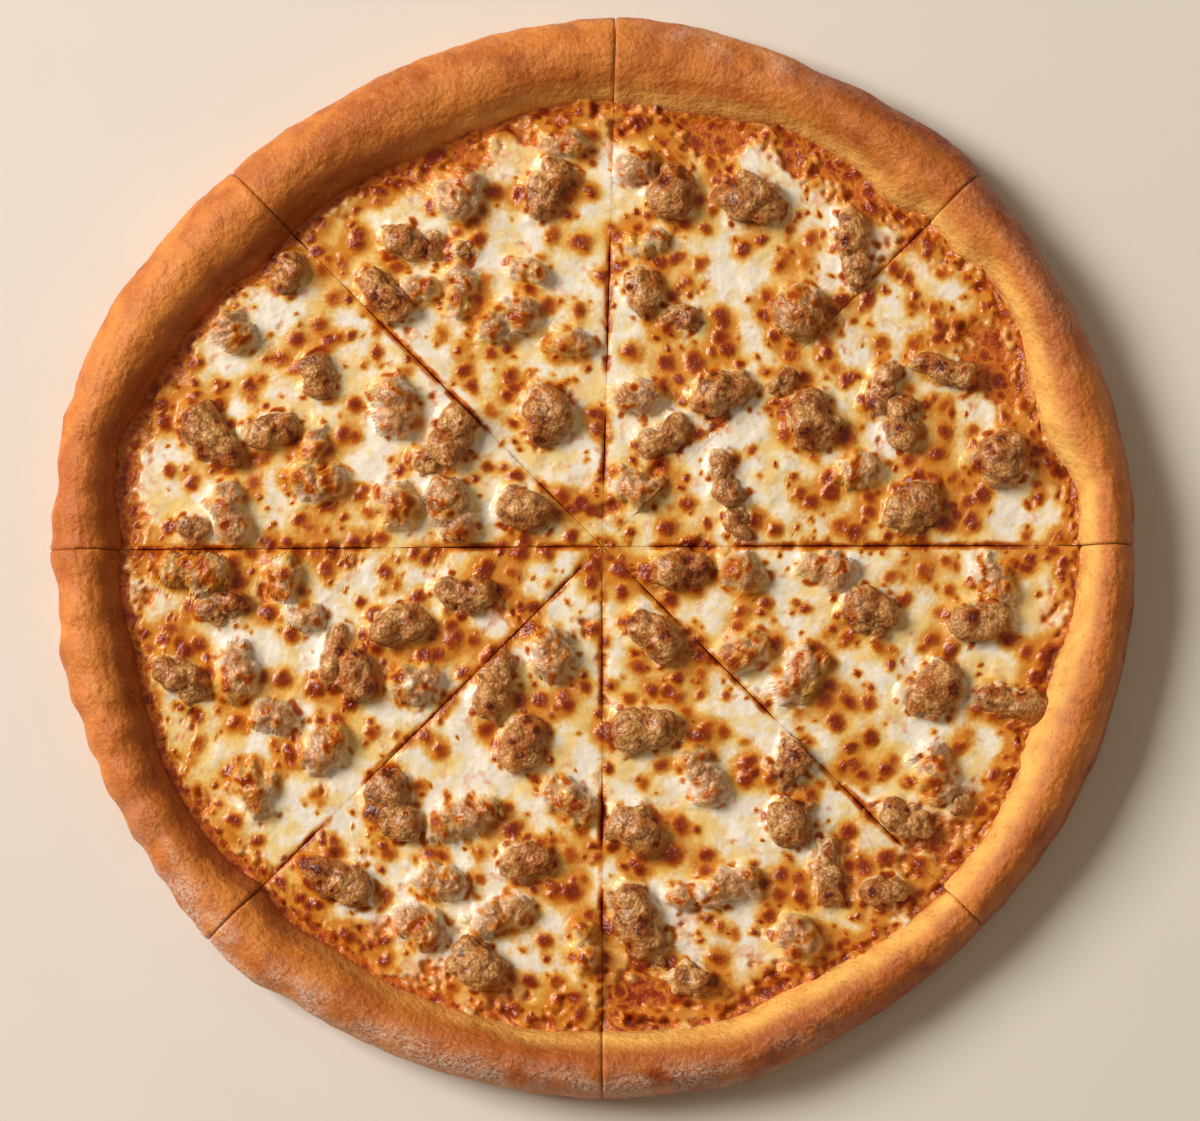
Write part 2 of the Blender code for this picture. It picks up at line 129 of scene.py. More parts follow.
# Each slice: its number, the angles of its cuts, rows of angle, outer radius and radius of the crust's
# foot along its rim, its lumps that are solids of their own and those fused to the cheese.
SLICES = (
    Slice(
        1, 44.7, 88.5,
        ((44.7, 175.7, 151), (50, 175.7, 146), (58, 173.2, 149), (66, 172.1, 149), (73, 173.5, 146),
         (80, 174.5, 144), (88.5, 174.8, 145)),
        ((52, 118, 20, 16, -10, 0.15), (86, 100, 28, 11, 104, 0.1), (68, 80, 17, 17, 120, 0.5),
         (26, 120, 19, 15, 80, 0.15), (46, 51, 21, 14, 25, 0.1)),
        ((17, 87, 16, 12, 110, 0.2), (29, 78, 13, 8, -15, 0.2), (14, 128, 14, 12, 0, 0.8),
         (18, 103, 15, 8, 15, 0.8), (15, 52, 16, 12, 0, 0.75), (24, 39, 19, 11, 28, 0.1),
         (16, 22, 18, 13, -35, 0.45)),
    ),
    Slice(
        2, 0.1, 44.7,
        ((0.1, 174.7, 155), (6, 174.7, 156), (15, 174, 148), (20, 173.7, 149), (28, 173.2, 153.5),
         (35, 173.4, 154), (40, 173.7, 150), (44.7, 174.7, 150.5)),
        ((73, 45, 20, 17, 100, 0.3), (102, 44, 19, 12, 95, 0.1), (115, 61, 22, 10, -12, 0.25),
         (132, 33, 19, 17, 60, 0.35), (105, 16, 20, 16, 40, 0.3)),
        ((62, 57, 10, 10, 0, 0.2), (95, 55, 19, 9, 65, 0.15), (87, 28, 15, 10, 20, 0.8),
         (43, 25, 20, 10, 115, 0.1), (48, 11, 12, 8, 110, 0.15)),
    ),
    Slice(
        3, -45.0, 0.1,
        ((-45.0, 176, 156.4), (-38, 176, 156), (-30, 176, 154), (-24, 176, 151), (-15, 175.7, 152),
         (-8, 175.2, 155), (0.1, 174.7, 156)),
        ((90, -19, 18, 14, -40, 0.2), (127, -21, 21, 13, 5, 0.2), (112, -44, 20, 15, 60, 0.15),
         (137, -47, 25, 12, -10, 0.15)),
        ((29, -4, 19, 13, 15, 0.2), (49, -5, 16, 12, -20, 0.55), (77, -4, 18, 12, -15, 0.5),
         (132, -7, 17, 11, -50, 0.75), (68, -40, 20, 14, 45, 0.65), (49, -31, 18, 14, 30, 0.7),
         (112, -71, 20, 13, -65, 0.7), (102, -86, 18, 12, -30, 0.25), (120, -80, 10, 7, 80, 0.3)),
    ),
    Slice(
        4, -90.0, -45.0,
        ((-90.0, 180.4, 157.5), (-84, 180.1, 158), (-75, 181.3, 159), (-68, 179.3, 156.4),
         (-61, 177.5, 156), (-54, 176.6, 157), (-45.0, 176, 158)),
        ((21, -26, 21, 13, -35, 0.3), (17, -57, 22, 16, -5, 0.1), (65, -87, 16, 15, 60, 0.25),
         (13, -88, 19, 16, -20, 0.3), (13, -121, 26, 15, -55, 0.2)),
        ((37, -71, 22, 12, -65, 0.65), (66, -66, 20, 13, 60, 0.2), (44, -108, 23, 13, 15, 0.7),
         (32, -138, 15, 11, -10, 0.3), (67, -125, 17, 14, -60, 0.5), (77, -103, 23, 9, 100, 0.3),
         (95, -109, 16, 11, 20, 0.2), (29, -111, 11, 8, 0, 0.75)),
    ),
    Slice(
        5, -135.0, -90.0,
        ((-135.0, 182.4, 157), (-130, 182.9, 158.7), (-124, 180.3, 157), (-115, 179.6, 158),
         (-106, 179.6, 157.5), (-98, 180, 158.5), (-90.0, 180.4, 157.5)),
        ((-33, -41, 23, 12, 75, 0.15), (-23, -61, 18, 15, 60, 0.35), (-65, -81, 25, 16, 115, 0.15),
         (-83, -106, 23, 13, -25, 0.15), (-38, -132, 19, 15, -20, 0.15)),
        ((-13, -32, 18, 14, 95, 0.6), (-7, -80, 20, 12, -45, 0.65), (-42, -86, 24, 12, 15, 0.65),
         (-21, -99, 18, 13, 10, 0.25), (-49, -106, 17, 12, -25, 0.7), (-56, -120, 18, 14, -30, 0.5),
         (-30, -117, 21, 12, 15, 0.65), (-2, -127, 18, 8, 92, 0.75)),
    ),
    Slice(
        6, -179.6, -135.0,
        ((-179.6, 181, 157), (-174, 180, 158), (-168, 181.3, 156.4), (-160, 180.3, 157.4),
         (-153, 180.6, 159.5), (-145, 180.6, 159.5), (-139, 181.6, 158.5), (-135.0, 182.6, 155.8)),
        ((-130, -6, 23, 13, -5, 0.45), (-77, -39, 18, 12, 100, 0.1), (-41, -12, 20, 12, -10, 0.2),
         (-134, -41, 21, 13, -15, 0.1)),
        ((-121, -16, 17, 11, 20, 0.2), (-101, -7, 15, 12, 100, 0.75), (-63, -23, 20, 14, 10, 0.3),
         (-84, -32, 21, 8, 75, 0.25), (-116, -38, 19, 14, 80, 0.6), (-104, -52, 15, 12, 0, 0.7),
         (-87, -63, 18, 14, 60, 0.7), (-109, -76, 18, 12, -60, 0.7), (-58, -42, 18, 13, 0, 0.7),
         (-94, -20, 13, 9, 0, 0.75)),
    ),
    Slice(
        7, -225.3, -179.6,
        ((-225.3, 173.7, 144), (-220, 175.4, 144), (-213, 176.7, 149.2), (-206, 179.6, 152),
         (-198, 181, 156.4), (-192, 182, 161), (-187, 180.3, 160), (-179.6, 181.3, 156.4)),
        ((-125, 40, 24, 15, -60, 0.15), (-105, 41, 19, 11, 15, 0.2), (-47, 42, 21, 15, 60, 0.35),
         (-46, 15, 22, 15, -80, 0.45), (-22, 16, 18, 14, -25, 0.25)),
        ((-100, 93, 14, 11, 80, 0.2), (-117, 74, 15, 13, 0, 0.5), (-89, 59, 16, 11, -75, 0.3),
         (-91, 36, 13, 9, 70, 0.7), (-90, 24, 19, 13, -15, 0.65), (-65, 49, 20, 15, 80, 0.7),
         (-64, 17, 17, 14, -70, 0.65), (-119, 14, 21, 12, -70, 0.7), (-130, 9, 11, 10, 0, 0.2),
         (-54, 31, 10, 8, 0, 0.3)),
    ),
    Slice(
        8, -271.5, -225.3,
        ((-271.5, 174.8, 146), (-263, 172.8, 144.6), (-253, 171.8, 142), (-245, 171.5, 140.5),
         (-239, 171.1, 142.7), (-232, 172.4, 144), (-225.3, 173.4, 144)),
        ((-61, 103, 14, 12, 0, 0.15), (-69, 84, 20, 12, -50, 0.2), (-14, 121, 22, 14, 65, 0.3)),
        ((-52, 102, 10, 6, 90, 0.2), (-42, 100, 8, 7, 0, 0.3), (-43, 87, 18, 10, 95, 0.7),
         (-44, 119, 18, 14, 80, 0.65), (-10, 136, 17, 10, 0, 0.75), (-27, 77, 21, 14, 35, 0.65),
         (-7, 70, 14, 10, 0, 0.7), (-21, 94, 14, 8, -20, 0.7), (-15, 46, 19, 16, 80, 0.3),
         (-56, 88, 12, 10, 0, 0.7)),
    ),
)

# The larger blisters: pixel across, pixel down, radius in pixels.
BLISTERS = (
    (356, 243, 11), (695, 362, 13), (845, 437, 12), (667, 363, 11), (510, 377, 10), (548, 305, 9),
    (580, 310, 9), (297, 340, 9), (330, 340, 8), (418, 597, 9), (425, 655, 11), (437, 655, 11),
    (870, 497, 9), (870, 512, 9), (775, 530, 9), (755, 523, 8), (955, 515, 8), (970, 520, 9),
    (235, 820, 9), (558, 890, 12), (572, 891, 12), (672, 855, 13), (705, 855, 9), (680, 825, 11),
    (695, 738, 12), (835, 722, 11), (870, 738, 10), (885, 770, 10), (590, 568, 9), (592, 582, 9),
    (120, 540, 13), (1025, 405, 8), (1055, 472, 8), (668, 692, 9), (868, 703, 9), (648, 578, 9),
    (622, 592, 9), (697, 590, 8), (593, 630, 9), (895, 268, 9), (907, 278, 8), (722, 322, 9),
    (660, 262, 8), (775, 335, 8), (805, 378, 8), (960, 328, 11), (940, 325, 9), (985, 355, 9),
    (1020, 385, 8), (745, 780, 9), (640, 870, 8), (862, 775, 8), (938, 888, 10), (848, 865, 8),
    (700, 655, 10), (525, 540, 9), (548, 553, 8), (462, 535, 10), (415, 553, 8), (385, 572, 9),
    (452, 627, 9), (540, 700, 9), (478, 300, 8), (400, 300, 9), (250, 385, 9), (355, 405, 9),
    (300, 520, 9), (165, 640, 9), (150, 700, 8), (245, 700, 9), (335, 690, 8), (545, 940, 9),
    (640, 965, 10), (745, 1000, 9), (780, 985, 8), (620, 990, 9), (505, 1010, 8), (385, 960, 8),
    (310, 905, 8), (850, 620, 8), (905, 600, 8), (930, 640, 8), (1010, 640, 9), (1030, 560, 8),
    (1000, 440, 9), (1000, 380, 10), (720, 140, 10), (790, 140, 8), (700, 200, 8), (560, 130, 9),
    (470, 165, 8), (430, 205, 8), (380, 190, 8), (635, 120, 8), (650, 155, 8), (870, 190, 10),
    (815, 170, 9), (850, 175, 8),
)

# Where sauce lies bare or shows through: pixel across, pixel down, radius in pixels, strength.
SAUCE_PATCHES = (
    (992, 345, 24, 1.0), (1002, 385, 24, 1.1), (985, 372, 18, 1.0), (722, 142, 28, 1.0),
    (790, 150, 22, 0.9), (835, 172, 26, 1.0), (868, 192, 18, 0.9), (700, 130, 24, 0.8),
    (465, 158, 26, 0.9), (410, 180, 20, 0.7), (520, 135, 22, 0.6), (128, 470, 20, 1.0),
    (125, 520, 22, 1.1), (140, 430, 20, 0.8), (175, 370, 20, 0.8), (935, 835, 26, 1.1),
    (905, 862, 16, 0.7), (650, 985, 30, 0.9), (765, 985, 26, 0.8), (620, 1000, 24, 0.9),
    (710, 405, 14, 0.9), (680, 440, 16, 1.0), (720, 420, 14, 1.0), (655, 470, 10, 0.8),
    (270, 595, 18, 0.9), (700, 548, 13, 1.2), (585, 625, 9, 0.9), (610, 510, 13, 0.9),
    (603, 655, 9, 1.0), (605, 700, 8, 1.0), (845, 845, 13, 1.0), (500, 610, 20, 0.7),
    (435, 555, 18, 0.6), (570, 400, 9, 0.9), (700, 260, 12, 0.4), (890, 240, 34, 0.42),
    (860, 320, 20, 0.35), (950, 330, 30, 0.42), (640, 60, 10, 0.5), (250, 860, 18, 0.5),
    (150, 600, 16, 0.6), (190, 720, 16, 0.5), (210, 800, 14, 0.6), (380, 920, 26, 0.5),
    (430, 970, 24, 0.6), (500, 1000, 22, 0.6), (560, 1000, 20, 0.4), (1060, 480, 16, 0.6),
    (1040, 620, 16, 0.4), (690, 930, 30, 0.4), (740, 1010, 14, 0.7), (1010, 300, 18, 0.6),
    (620, 125, 16, 0.8), (560, 115, 14, 0.6), (340, 560, 26, 0.35), (650, 490, 20, 0.35),
)


def ease(value, low, high):
    """0 below low, 1 above high and a soft step between."""
    share = np.clip((value - low) / (high - low), 0, 1)
    return share * share * (3 - 2 * share)


def hashed(cell, seed):
    """A number from 0 to 1 for each whole-numbered cell, the same on every run."""
    value = cell[..., 0] * 374761393 + cell[..., 1] * 668265263 + cell[..., 2] * 1442695041
    value = (value + seed * 97531) & 0x7FFFFFFF
    value = ((value ^ (value >> 13)) * 1274126177) & 0x7FFFFFFF
    return ((value ^ (value >> 15)) & 0xFFFF) / 65535


def noise(points, size, seed=0):
    """Smooth noise of about -1 to 1 at points, with features about as large as size."""
    scaled = points / size
    cell = np.floor(scaled).astype(np.int64)
    part = scaled - cell
    soft = part * part * (3 - 2 * part)
    total = np.zeros(len(points))
    for corner in itertools.product((0, 1), repeat=3):
        corner = np.array(corner)
        weight = np.prod(np.where(corner, soft, 1 - soft), axis=1)
        for axis in range(3):
            slope = hashed(cell + corner, seed * 3 + axis) * 2 - 1
            total += weight * slope * (part[:, axis] - corner[axis])
    return total * 1.7


def patches(points, size, seed, low, high):
    """Soft patches about as large as size: 0 where the noise is below low and 1 where it is above high."""
    return ease(noise(points, size, seed), low, high)


def granules(points, size, seed=0):
    """1 in the middle of each of many packed grains about as large as size, and 0 or less between."""
    scaled = points / size
    cell = np.floor(scaled).astype(np.int64)
    nearest = np.full(len(points), 4.0)
    for step in itertools.product((-1, 0, 1), repeat=3):
        near = cell + np.array(step)
        middle = near + np.stack([hashed(near, seed * 3 + axis) for axis in range(3)], axis=1)
        nearest = np.minimum(nearest, np.sum((scaled - middle) ** 2, axis=1))
    return 1 - 1.25 * np.sqrt(nearest)


def crowding(points):
    """Where blisters lie close together, from about -1 to 1."""
    return noise(points, 26, 71) + 0.6 * noise(points, 9, 72)


def flat(x, y):
    """Points in the plane as points in space, for the noise."""
    return np.stack([x, y, np.zeros_like(x)], axis=1)


def turned_by(x, y, turn):
    """Places in the plane, turned by an angle in radians."""
    cos, sin = math.cos(turn), math.sin(turn)
    return x * cos - y * sin, x * sin + y * cos


def read_rim(piece, angle):
    """Outer radius and the radius of the crust's foot at each angle."""
    rows = np.array(piece.rim, dtype=float)
    row = np.clip(np.searchsorted(rows[:, 0], angle) - 1, 0, len(rows) - 2)
    share = ease(angle, rows[row, 0], rows[row + 1, 0])
    read = rows[row] + (rows[row + 1] - rows[row]) * share[:, None]
    return read[:, 1], read[:, 2]


def crest_height(angle):
    """Height of the rim's crest, which rises and falls round the pizza."""
    turns = np.radians(angle)
    return CREST_HEIGHT + sum(
        size * np.sin(count * turns + math.radians(phase)) for size, count, phase in CREST_WAVES
    )


def place(piece, angle, radius, height):
    """Points at a radius, read round the cut centre, and a height on a slice."""
    middle = math.radians((piece.start + piece.end) / 2)
    turns = np.radians(angle)
    reach = radius - SLICE_SHIFT
    return np.stack([
        CUT_CENTRE[0] + SLICE_SHIFT * math.cos(middle) + reach * np.cos(turns),
        CUT_CENTRE[1] + SLICE_SHIFT * math.sin(middle) + reach * np.sin(turns),
        height + np.zeros_like(reach),
    ], axis=1)


def cut_distance(piece, angle, radius):
    """How far a point on a slice lies from the nearer of its two cuts."""
    reach = np.maximum(radius - SLICE_SHIFT, 0)
    from_start = reach * np.sin(np.radians(angle - piece.start))
    from_end = reach * np.sin(np.radians(piece.end - angle))
    return np.minimum(from_start, from_end)


def from_photo(pixel_x, pixel_y):
    """A pixel of the photograph as x and y."""
    return (pixel_x - PHOTO_MIDDLE[0]) * PIXEL, (PHOTO_MIDDLE[1] - pixel_y) * PIXEL


def make_piece(name, points, faces, replaced, looks, fields, slots=None):
    """A smooth mesh that rides on the pizza and stands for a CAD node, with a value a point in fields."""
    mesh = bpy.data.meshes.new(name)
    mesh.from_pydata((points * MM).tolist(), [], faces)
    for field, values in fields.items():
        layer = mesh.attributes.new(field, "FLOAT", "POINT")
        layer.data.foreach_set("value", np.asarray(values, dtype=np.float32))
    for look in looks:
        mesh.materials.append(look)
    if slots is not None:
        mesh.polygons.foreach_set("material_index", slots)
    mesh.shade_smooth()
    mesh.set_sharp_from_angle(angle=math.radians(70))
    piece = bpy.data.objects.new(name, mesh)
    bpy.context.scene.collection.objects.link(piece)
    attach(piece, "root")
    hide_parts(replaced)


class Look:
    """One material, built node by node. A method that adds a node returns the socket of its result."""

    def __init__(self, name):
        self.material = bpy.data.materials.new(name)
        self.material.use_nodes = True
        self.tree = self.material.node_tree
        self.shader = self.tree.nodes["Principled BSDF"]
        self.place = self.tree.nodes.new("ShaderNodeTexCoord").outputs["Object"]

    def fill(self, socket, value):
        """Links a socket to another one, or sets it to a number or a colour."""
        if isinstance(value, bpy.types.NodeSocket):
            self.tree.links.new(value, socket)
        elif isinstance(value, tuple):
            socket.default_value = (*value, 1)
        else:
            socket.default_value = value

    def node(self, kind, result, inputs, **settings):
        """A new node with its settings and its inputs."""
        node = self.tree.nodes.new(f"ShaderNode{kind}")
        for name, value in settings.items():
            setattr(node, name, value)
        for name, value in inputs.items():
            self.fill(node.inputs[name], value)
        return node.outputs[result]

    def field(self, name):
        """A value that the mesh holds for each of its points."""
        return self.node("Attribute", "Fac", {}, attribute_name=name)

    def noise(self, size, detail):
        """Noise with features of about size mm."""
        inputs = {"Vector": self.place, "Scale": 1 / (size * MM), "Detail": detail}
        return self.node("TexNoise", "Fac", inputs)

    def grains(self, size):
        """Rounded grains of about size mm: 0 in the middle of a grain and up to 1 between them."""
        return self.node("TexVoronoi", "Distance", {"Vector": self.place, "Scale": 1 / (size * MM)})

    def maths(self, operation, first, second, clamp=False):
        """What an operation makes of two values, kept from 0 to 1 if clamp is set."""
        return self.node("Math", 0, {0: first, 1: second}, operation=operation, use_clamp=clamp)

    def plus(self, first, second, clamp=False):
        return self.maths("ADD", first, second, clamp)

    def times(self, first, second, clamp=False):
        return self.maths("MULTIPLY", first, second, clamp)

    def ragged_field(self, name, ragged, share):
        """A value of the mesh with its borders made ragged, from 0 to 1."""
        return self.plus(self.field(name), self.times(ragged, share), True)

    def step(self, value, low, high, to_low=0.0, to_high=1.0):
        """A soft step of value from to_low at low to to_high at high."""
        inputs = {"Value": value, "From Min": low, "From Max": high, "To Min": to_low, "To Max": to_high}
        return self.node("MapRange", "Result", inputs, interpolation_type="SMOOTHSTEP")

    def mix(self, share, first, second):
        """first where share is 0 and second where it is 1, for colours."""
        return self.node("Mix", "Result", {"Factor": share, "A": first, "B": second}, data_type="RGBA")

    def coat(self, below, colour, value, low, high, most=1.0):
        """A colour over another one: none of it where value is low, and most of it where it is high."""
        return self.mix(self.step(value, low, high, 0.0, most), below, colour)

    def bumps(self, *layers):
        """A normal from layers of bumps, each a height of 0 to 1 and the mm that it stands for."""
        normal = None
        for height, depth in layers:
            below = {} if normal is None else {"Normal": normal}
            normal = self.node("Bump", "Normal", {"Height": height, "Distance": depth * MM, **below})
        return normal

    def finish(self, colour, roughness, normal, **constants):
        """Joins the results to the shader, sets its constant sockets and returns the material."""
        self.fill(self.shader.inputs["Base Color"], colour)
        self.fill(self.shader.inputs["Roughness"], roughness)
        self.fill(self.shader.inputs["Normal"], normal)
        for name, value in constants.items():
            self.shader.inputs[name.replace("_", " ")].default_value = value
        return self.material


def crust_look():
    """Golden baked skin: paler low inside the rim, painted paler still where that slope faces the light,
    toasted in patches, painted darker where the rim faces away from the light, and floury where the field
    says.
    """
    look = Look("baked_crust")
    patch = look.noise(8, 4)
    grain = look.noise(1.6, 4)
    fine = look.noise(0.5, 3)
    flour = look.field("flour")
    tone = look.plus(look.times(look.noise(26, 2), 0.5), look.times(patch, 0.5))
    colour = look.coat((0.54, 0.142, 0.019), (0.80, 0.280, 0.049), tone, 0.38, 0.62)
    # Toast here is partly real toasting and partly painted shade on the rim's sides that face away from the
    # light.
    toast_and_shade = look.times(look.field("toast_and_shade"), look.step(patch, 0.25, 0.75, 0.5, 1.2), True)
    colour = look.mix(toast_and_shade, colour, (0.32, 0.052, 0.005))
    # The golden foot, with painted light: wider where the inner slope faces the light.
    golden_and_lit = look.times(look.field("golden_and_lit"), look.step(patch, 0.2, 0.7, 0.55, 1.0), True)
    colour = look.mix(golden_and_lit, colour, (1.0, 0.58, 0.155))
    singed = look.times(look.field("singed"), look.step(grain, 0.35, 0.6), True)
    colour = look.mix(singed, colour, (0.34, 0.058, 0.005))
    colour = look.coat(colour, (0.80, 0.40, 0.12), grain, 0.58, 0.72, 0.40)
    colour = look.coat(colour, (0.27, 0.058, 0.008), grain, 0.43, 0.28, 0.35)
    flakes = look.plus(look.times(fine, 0.5), look.times(look.noise(1.1, 4), 0.5))
    dust = look.times(flour, look.step(flakes, 0.43, 0.54), True)
    colour = look.mix(look.times(dust, 0.85), colour, (0.74, 0.55, 0.44))
    rough = look.plus(look.step(patch, 0.2, 0.8, 0.42, 0.62), look.times(flour, 0.25))
    normal = look.bumps((look.noise(3.2, 5), 0.60), (grain, 0.38), (fine, 0.14))
    return look.finish(colour, rough, normal, Specular_IOR_Level=0.45)


def crumb_look():
    """The torn inside of the bread at a cut: pale and full of small holes."""
    look = Look("bread_crumb")
    holes = look.noise(1.8, 4)
    colour = look.coat((0.45, 0.22, 0.08), (0.80, 0.58, 0.32), holes, 0.35, 0.6)
    return look.finish(colour, look.step(holes, 0, 1, 0.75, 0.95), look.bumps((holes, 0.8)))


def cheese_look():
    """Melted cheese, toasted from cream through gold and amber to dark blisters, with bare sauce and the
    meat below it where the mesh's fields say.
    """
    look = Look("melted_cheese")
    broad = look.noise(10, 1.5)
    middle = look.noise(3.4, 2)
    fine = look.noise(1.3, 4)
    tiny = look.noise(0.45, 3)
    grain = look.grains(1.5)
    ragged = look.times(look.plus(fine, -0.5), 0.5)
    colour = look.coat((0.91, 0.69, 0.30), (0.93, 0.79, 0.48), broad, 0.32, 0.50)
    milky = look.plus(look.times(broad, 0.6), look.times(middle, 0.4))
    colour = look.coat(colour, (0.94, 0.90, 0.82), milky, 0.42, 0.58)
    meat = look.ragged_field("meat", ragged, 0.7)
    meat_and_grain_shade = look.coat((0.38, 0.118, 0.021), (0.66, 0.335, 0.115), middle, 0.35, 0.65)
    # Painted shade between the meat's grains.
    meat_and_grain_shade = look.coat(meat_and_grain_shade, (0.17, 0.040, 0.005), grain, 0.50, 0.85, 0.55)
    colour = look.mix(look.times(meat, 0.92), colour, meat_and_grain_shade)
    sauce = look.ragged_field("sauce", ragged, 0.9)
    tomato = look.coat((0.28, 0.024, 0.003), (0.62, 0.14, 0.016), look.noise(3.4, 4), 0.36, 0.62)
    colour = look.coat(colour, (0.84, 0.46, 0.27), sauce, 0.12, 0.42, 0.75)
    colour = look.coat(colour, (0.68, 0.23, 0.032), sauce, 0.38, 0.62)
    colour = look.coat(colour, tomato, sauce, 0.60, 0.88)
    gold = look.ragged_field("gold", ragged, 0.9)
    clear = look.step(sauce, 0.35, 0.6, 1.0, 0.0)
    light_gold = look.times(look.step(gold, 0.18, 0.60, 0.0, 0.9), clear)
    colour = look.mix(light_gold, colour, (0.86, 0.53, 0.105))
    deep_gold = look.times(look.step(gold, 0.42, 0.88, 0.0, 0.92), clear)
    colour = look.mix(deep_gold, colour, (0.66, 0.24, 0.022))
    brown = look.ragged_field("brown", ragged, 0.55)
    colour = look.coat(colour, (0.64, 0.21, 0.012), brown, 0.05, 0.45)
    colour = look.coat(colour, (0.42, 0.074, 0.003), brown, 0.32, 0.62)
    colour = look.coat(colour, (0.24, 0.024, 0.001), brown, 0.58, 0.94)
    rough = look.step(broad, 0.3, 0.7, 0.17, 0.28)
    rough = look.plus(rough, look.times(look.step(tiny, 0.5, 0.7), 0.12))
    uneven = look.plus(look.maths("MAXIMUM", look.maths("MAXIMUM", brown, meat), sauce), 0.15)
    normal = look.bumps(
        (look.noise(3.6, 3), 0.40), (look.times(fine, uneven), 0.40),
        (look.times(grain, meat), -0.30), (tiny, 0.012),
    )
    return look.finish(colour, rough, normal, Specular_IOR_Level=0.48, Subsurface_Weight=0.12,
                       Subsurface_Radius=(0.003, 0.0016, 0.0008), Subsurface_Scale=0.6)


def sauce_look():
    """Wet tomato sauce, from orange to dark red."""
    look = Look("tomato_sauce")
    fine = look.noise(1.0, 3)
    colour = look.coat((0.26, 0.026, 0.004), (0.56, 0.13, 0.016), look.noise(5, 4), 0.35, 0.65)
    return look.finish(colour, look.step(fine, 0.3, 0.7, 0.18, 0.35), look.bumps((fine, 0.25)))


def sausage_look():
    """Baked ground sausage: beige grains with painted shade in the deep places between them, red-brown in
    patches, and cheese at the foot.
    """
    look = Look("sausage")
    broad = look.noise(7, 3)
    mottle = look.noise(2.2, 4)
    fine = look.noise(0.7, 4)
    grain = look.grains(1.3)
    colour = look.coat((0.42, 0.150, 0.026), (0.74, 0.41, 0.145), mottle, 0.32, 0.62)
    colour = look.coat(colour, (0.42, 0.120, 0.014), broad, 0.48, 0.62, 0.75)
    # Painted shade: darker where the skin lies deep between its knobs and grains.
    deep = look.times(look.step(look.field("crest"), 0.42, 0.05), 0.8)
    shaded = look.maths("MAXIMUM", deep, look.step(grain, 0.55, 0.9, 0.0, 0.5))
    colour = look.mix(shaded, colour, (0.14, 0.026, 0.003))
    colour = look.coat(colour, (0.13, 0.034, 0.008), fine, 0.37, 0.27, 0.6)
    colour = look.coat(colour, (0.86, 0.62, 0.34), fine, 0.55, 0.68, 0.45)
    ragged = look.times(look.plus(mottle, -0.46), 1.6)
    brown = look.ragged_field("brown", ragged, 1.0)
    colour = look.coat(colour, (0.44, 0.125, 0.020), brown, 0.15, 0.5)
    colour = look.coat(colour, (0.13, 0.016, 0.002), brown, 0.55, 1.0)
    film = look.ragged_field("film", ragged, 0.45)
    cheese = look.coat((0.78, 0.45, 0.17), (0.90, 0.70, 0.42), mottle, 0.4, 0.6)
    colour = look.coat(colour, cheese, film, 0.15, 0.95, 0.85)
    rough = look.step(broad, 0.3, 0.7, 0.20, 0.32)
    normal = look.bumps((mottle, 0.30), (grain, -0.36), (fine, 0.28))
    return look.finish(colour, rough, normal, Specular_IOR_Level=0.42, Coat_Weight=0.25,
                       Coat_Roughness=0.16)


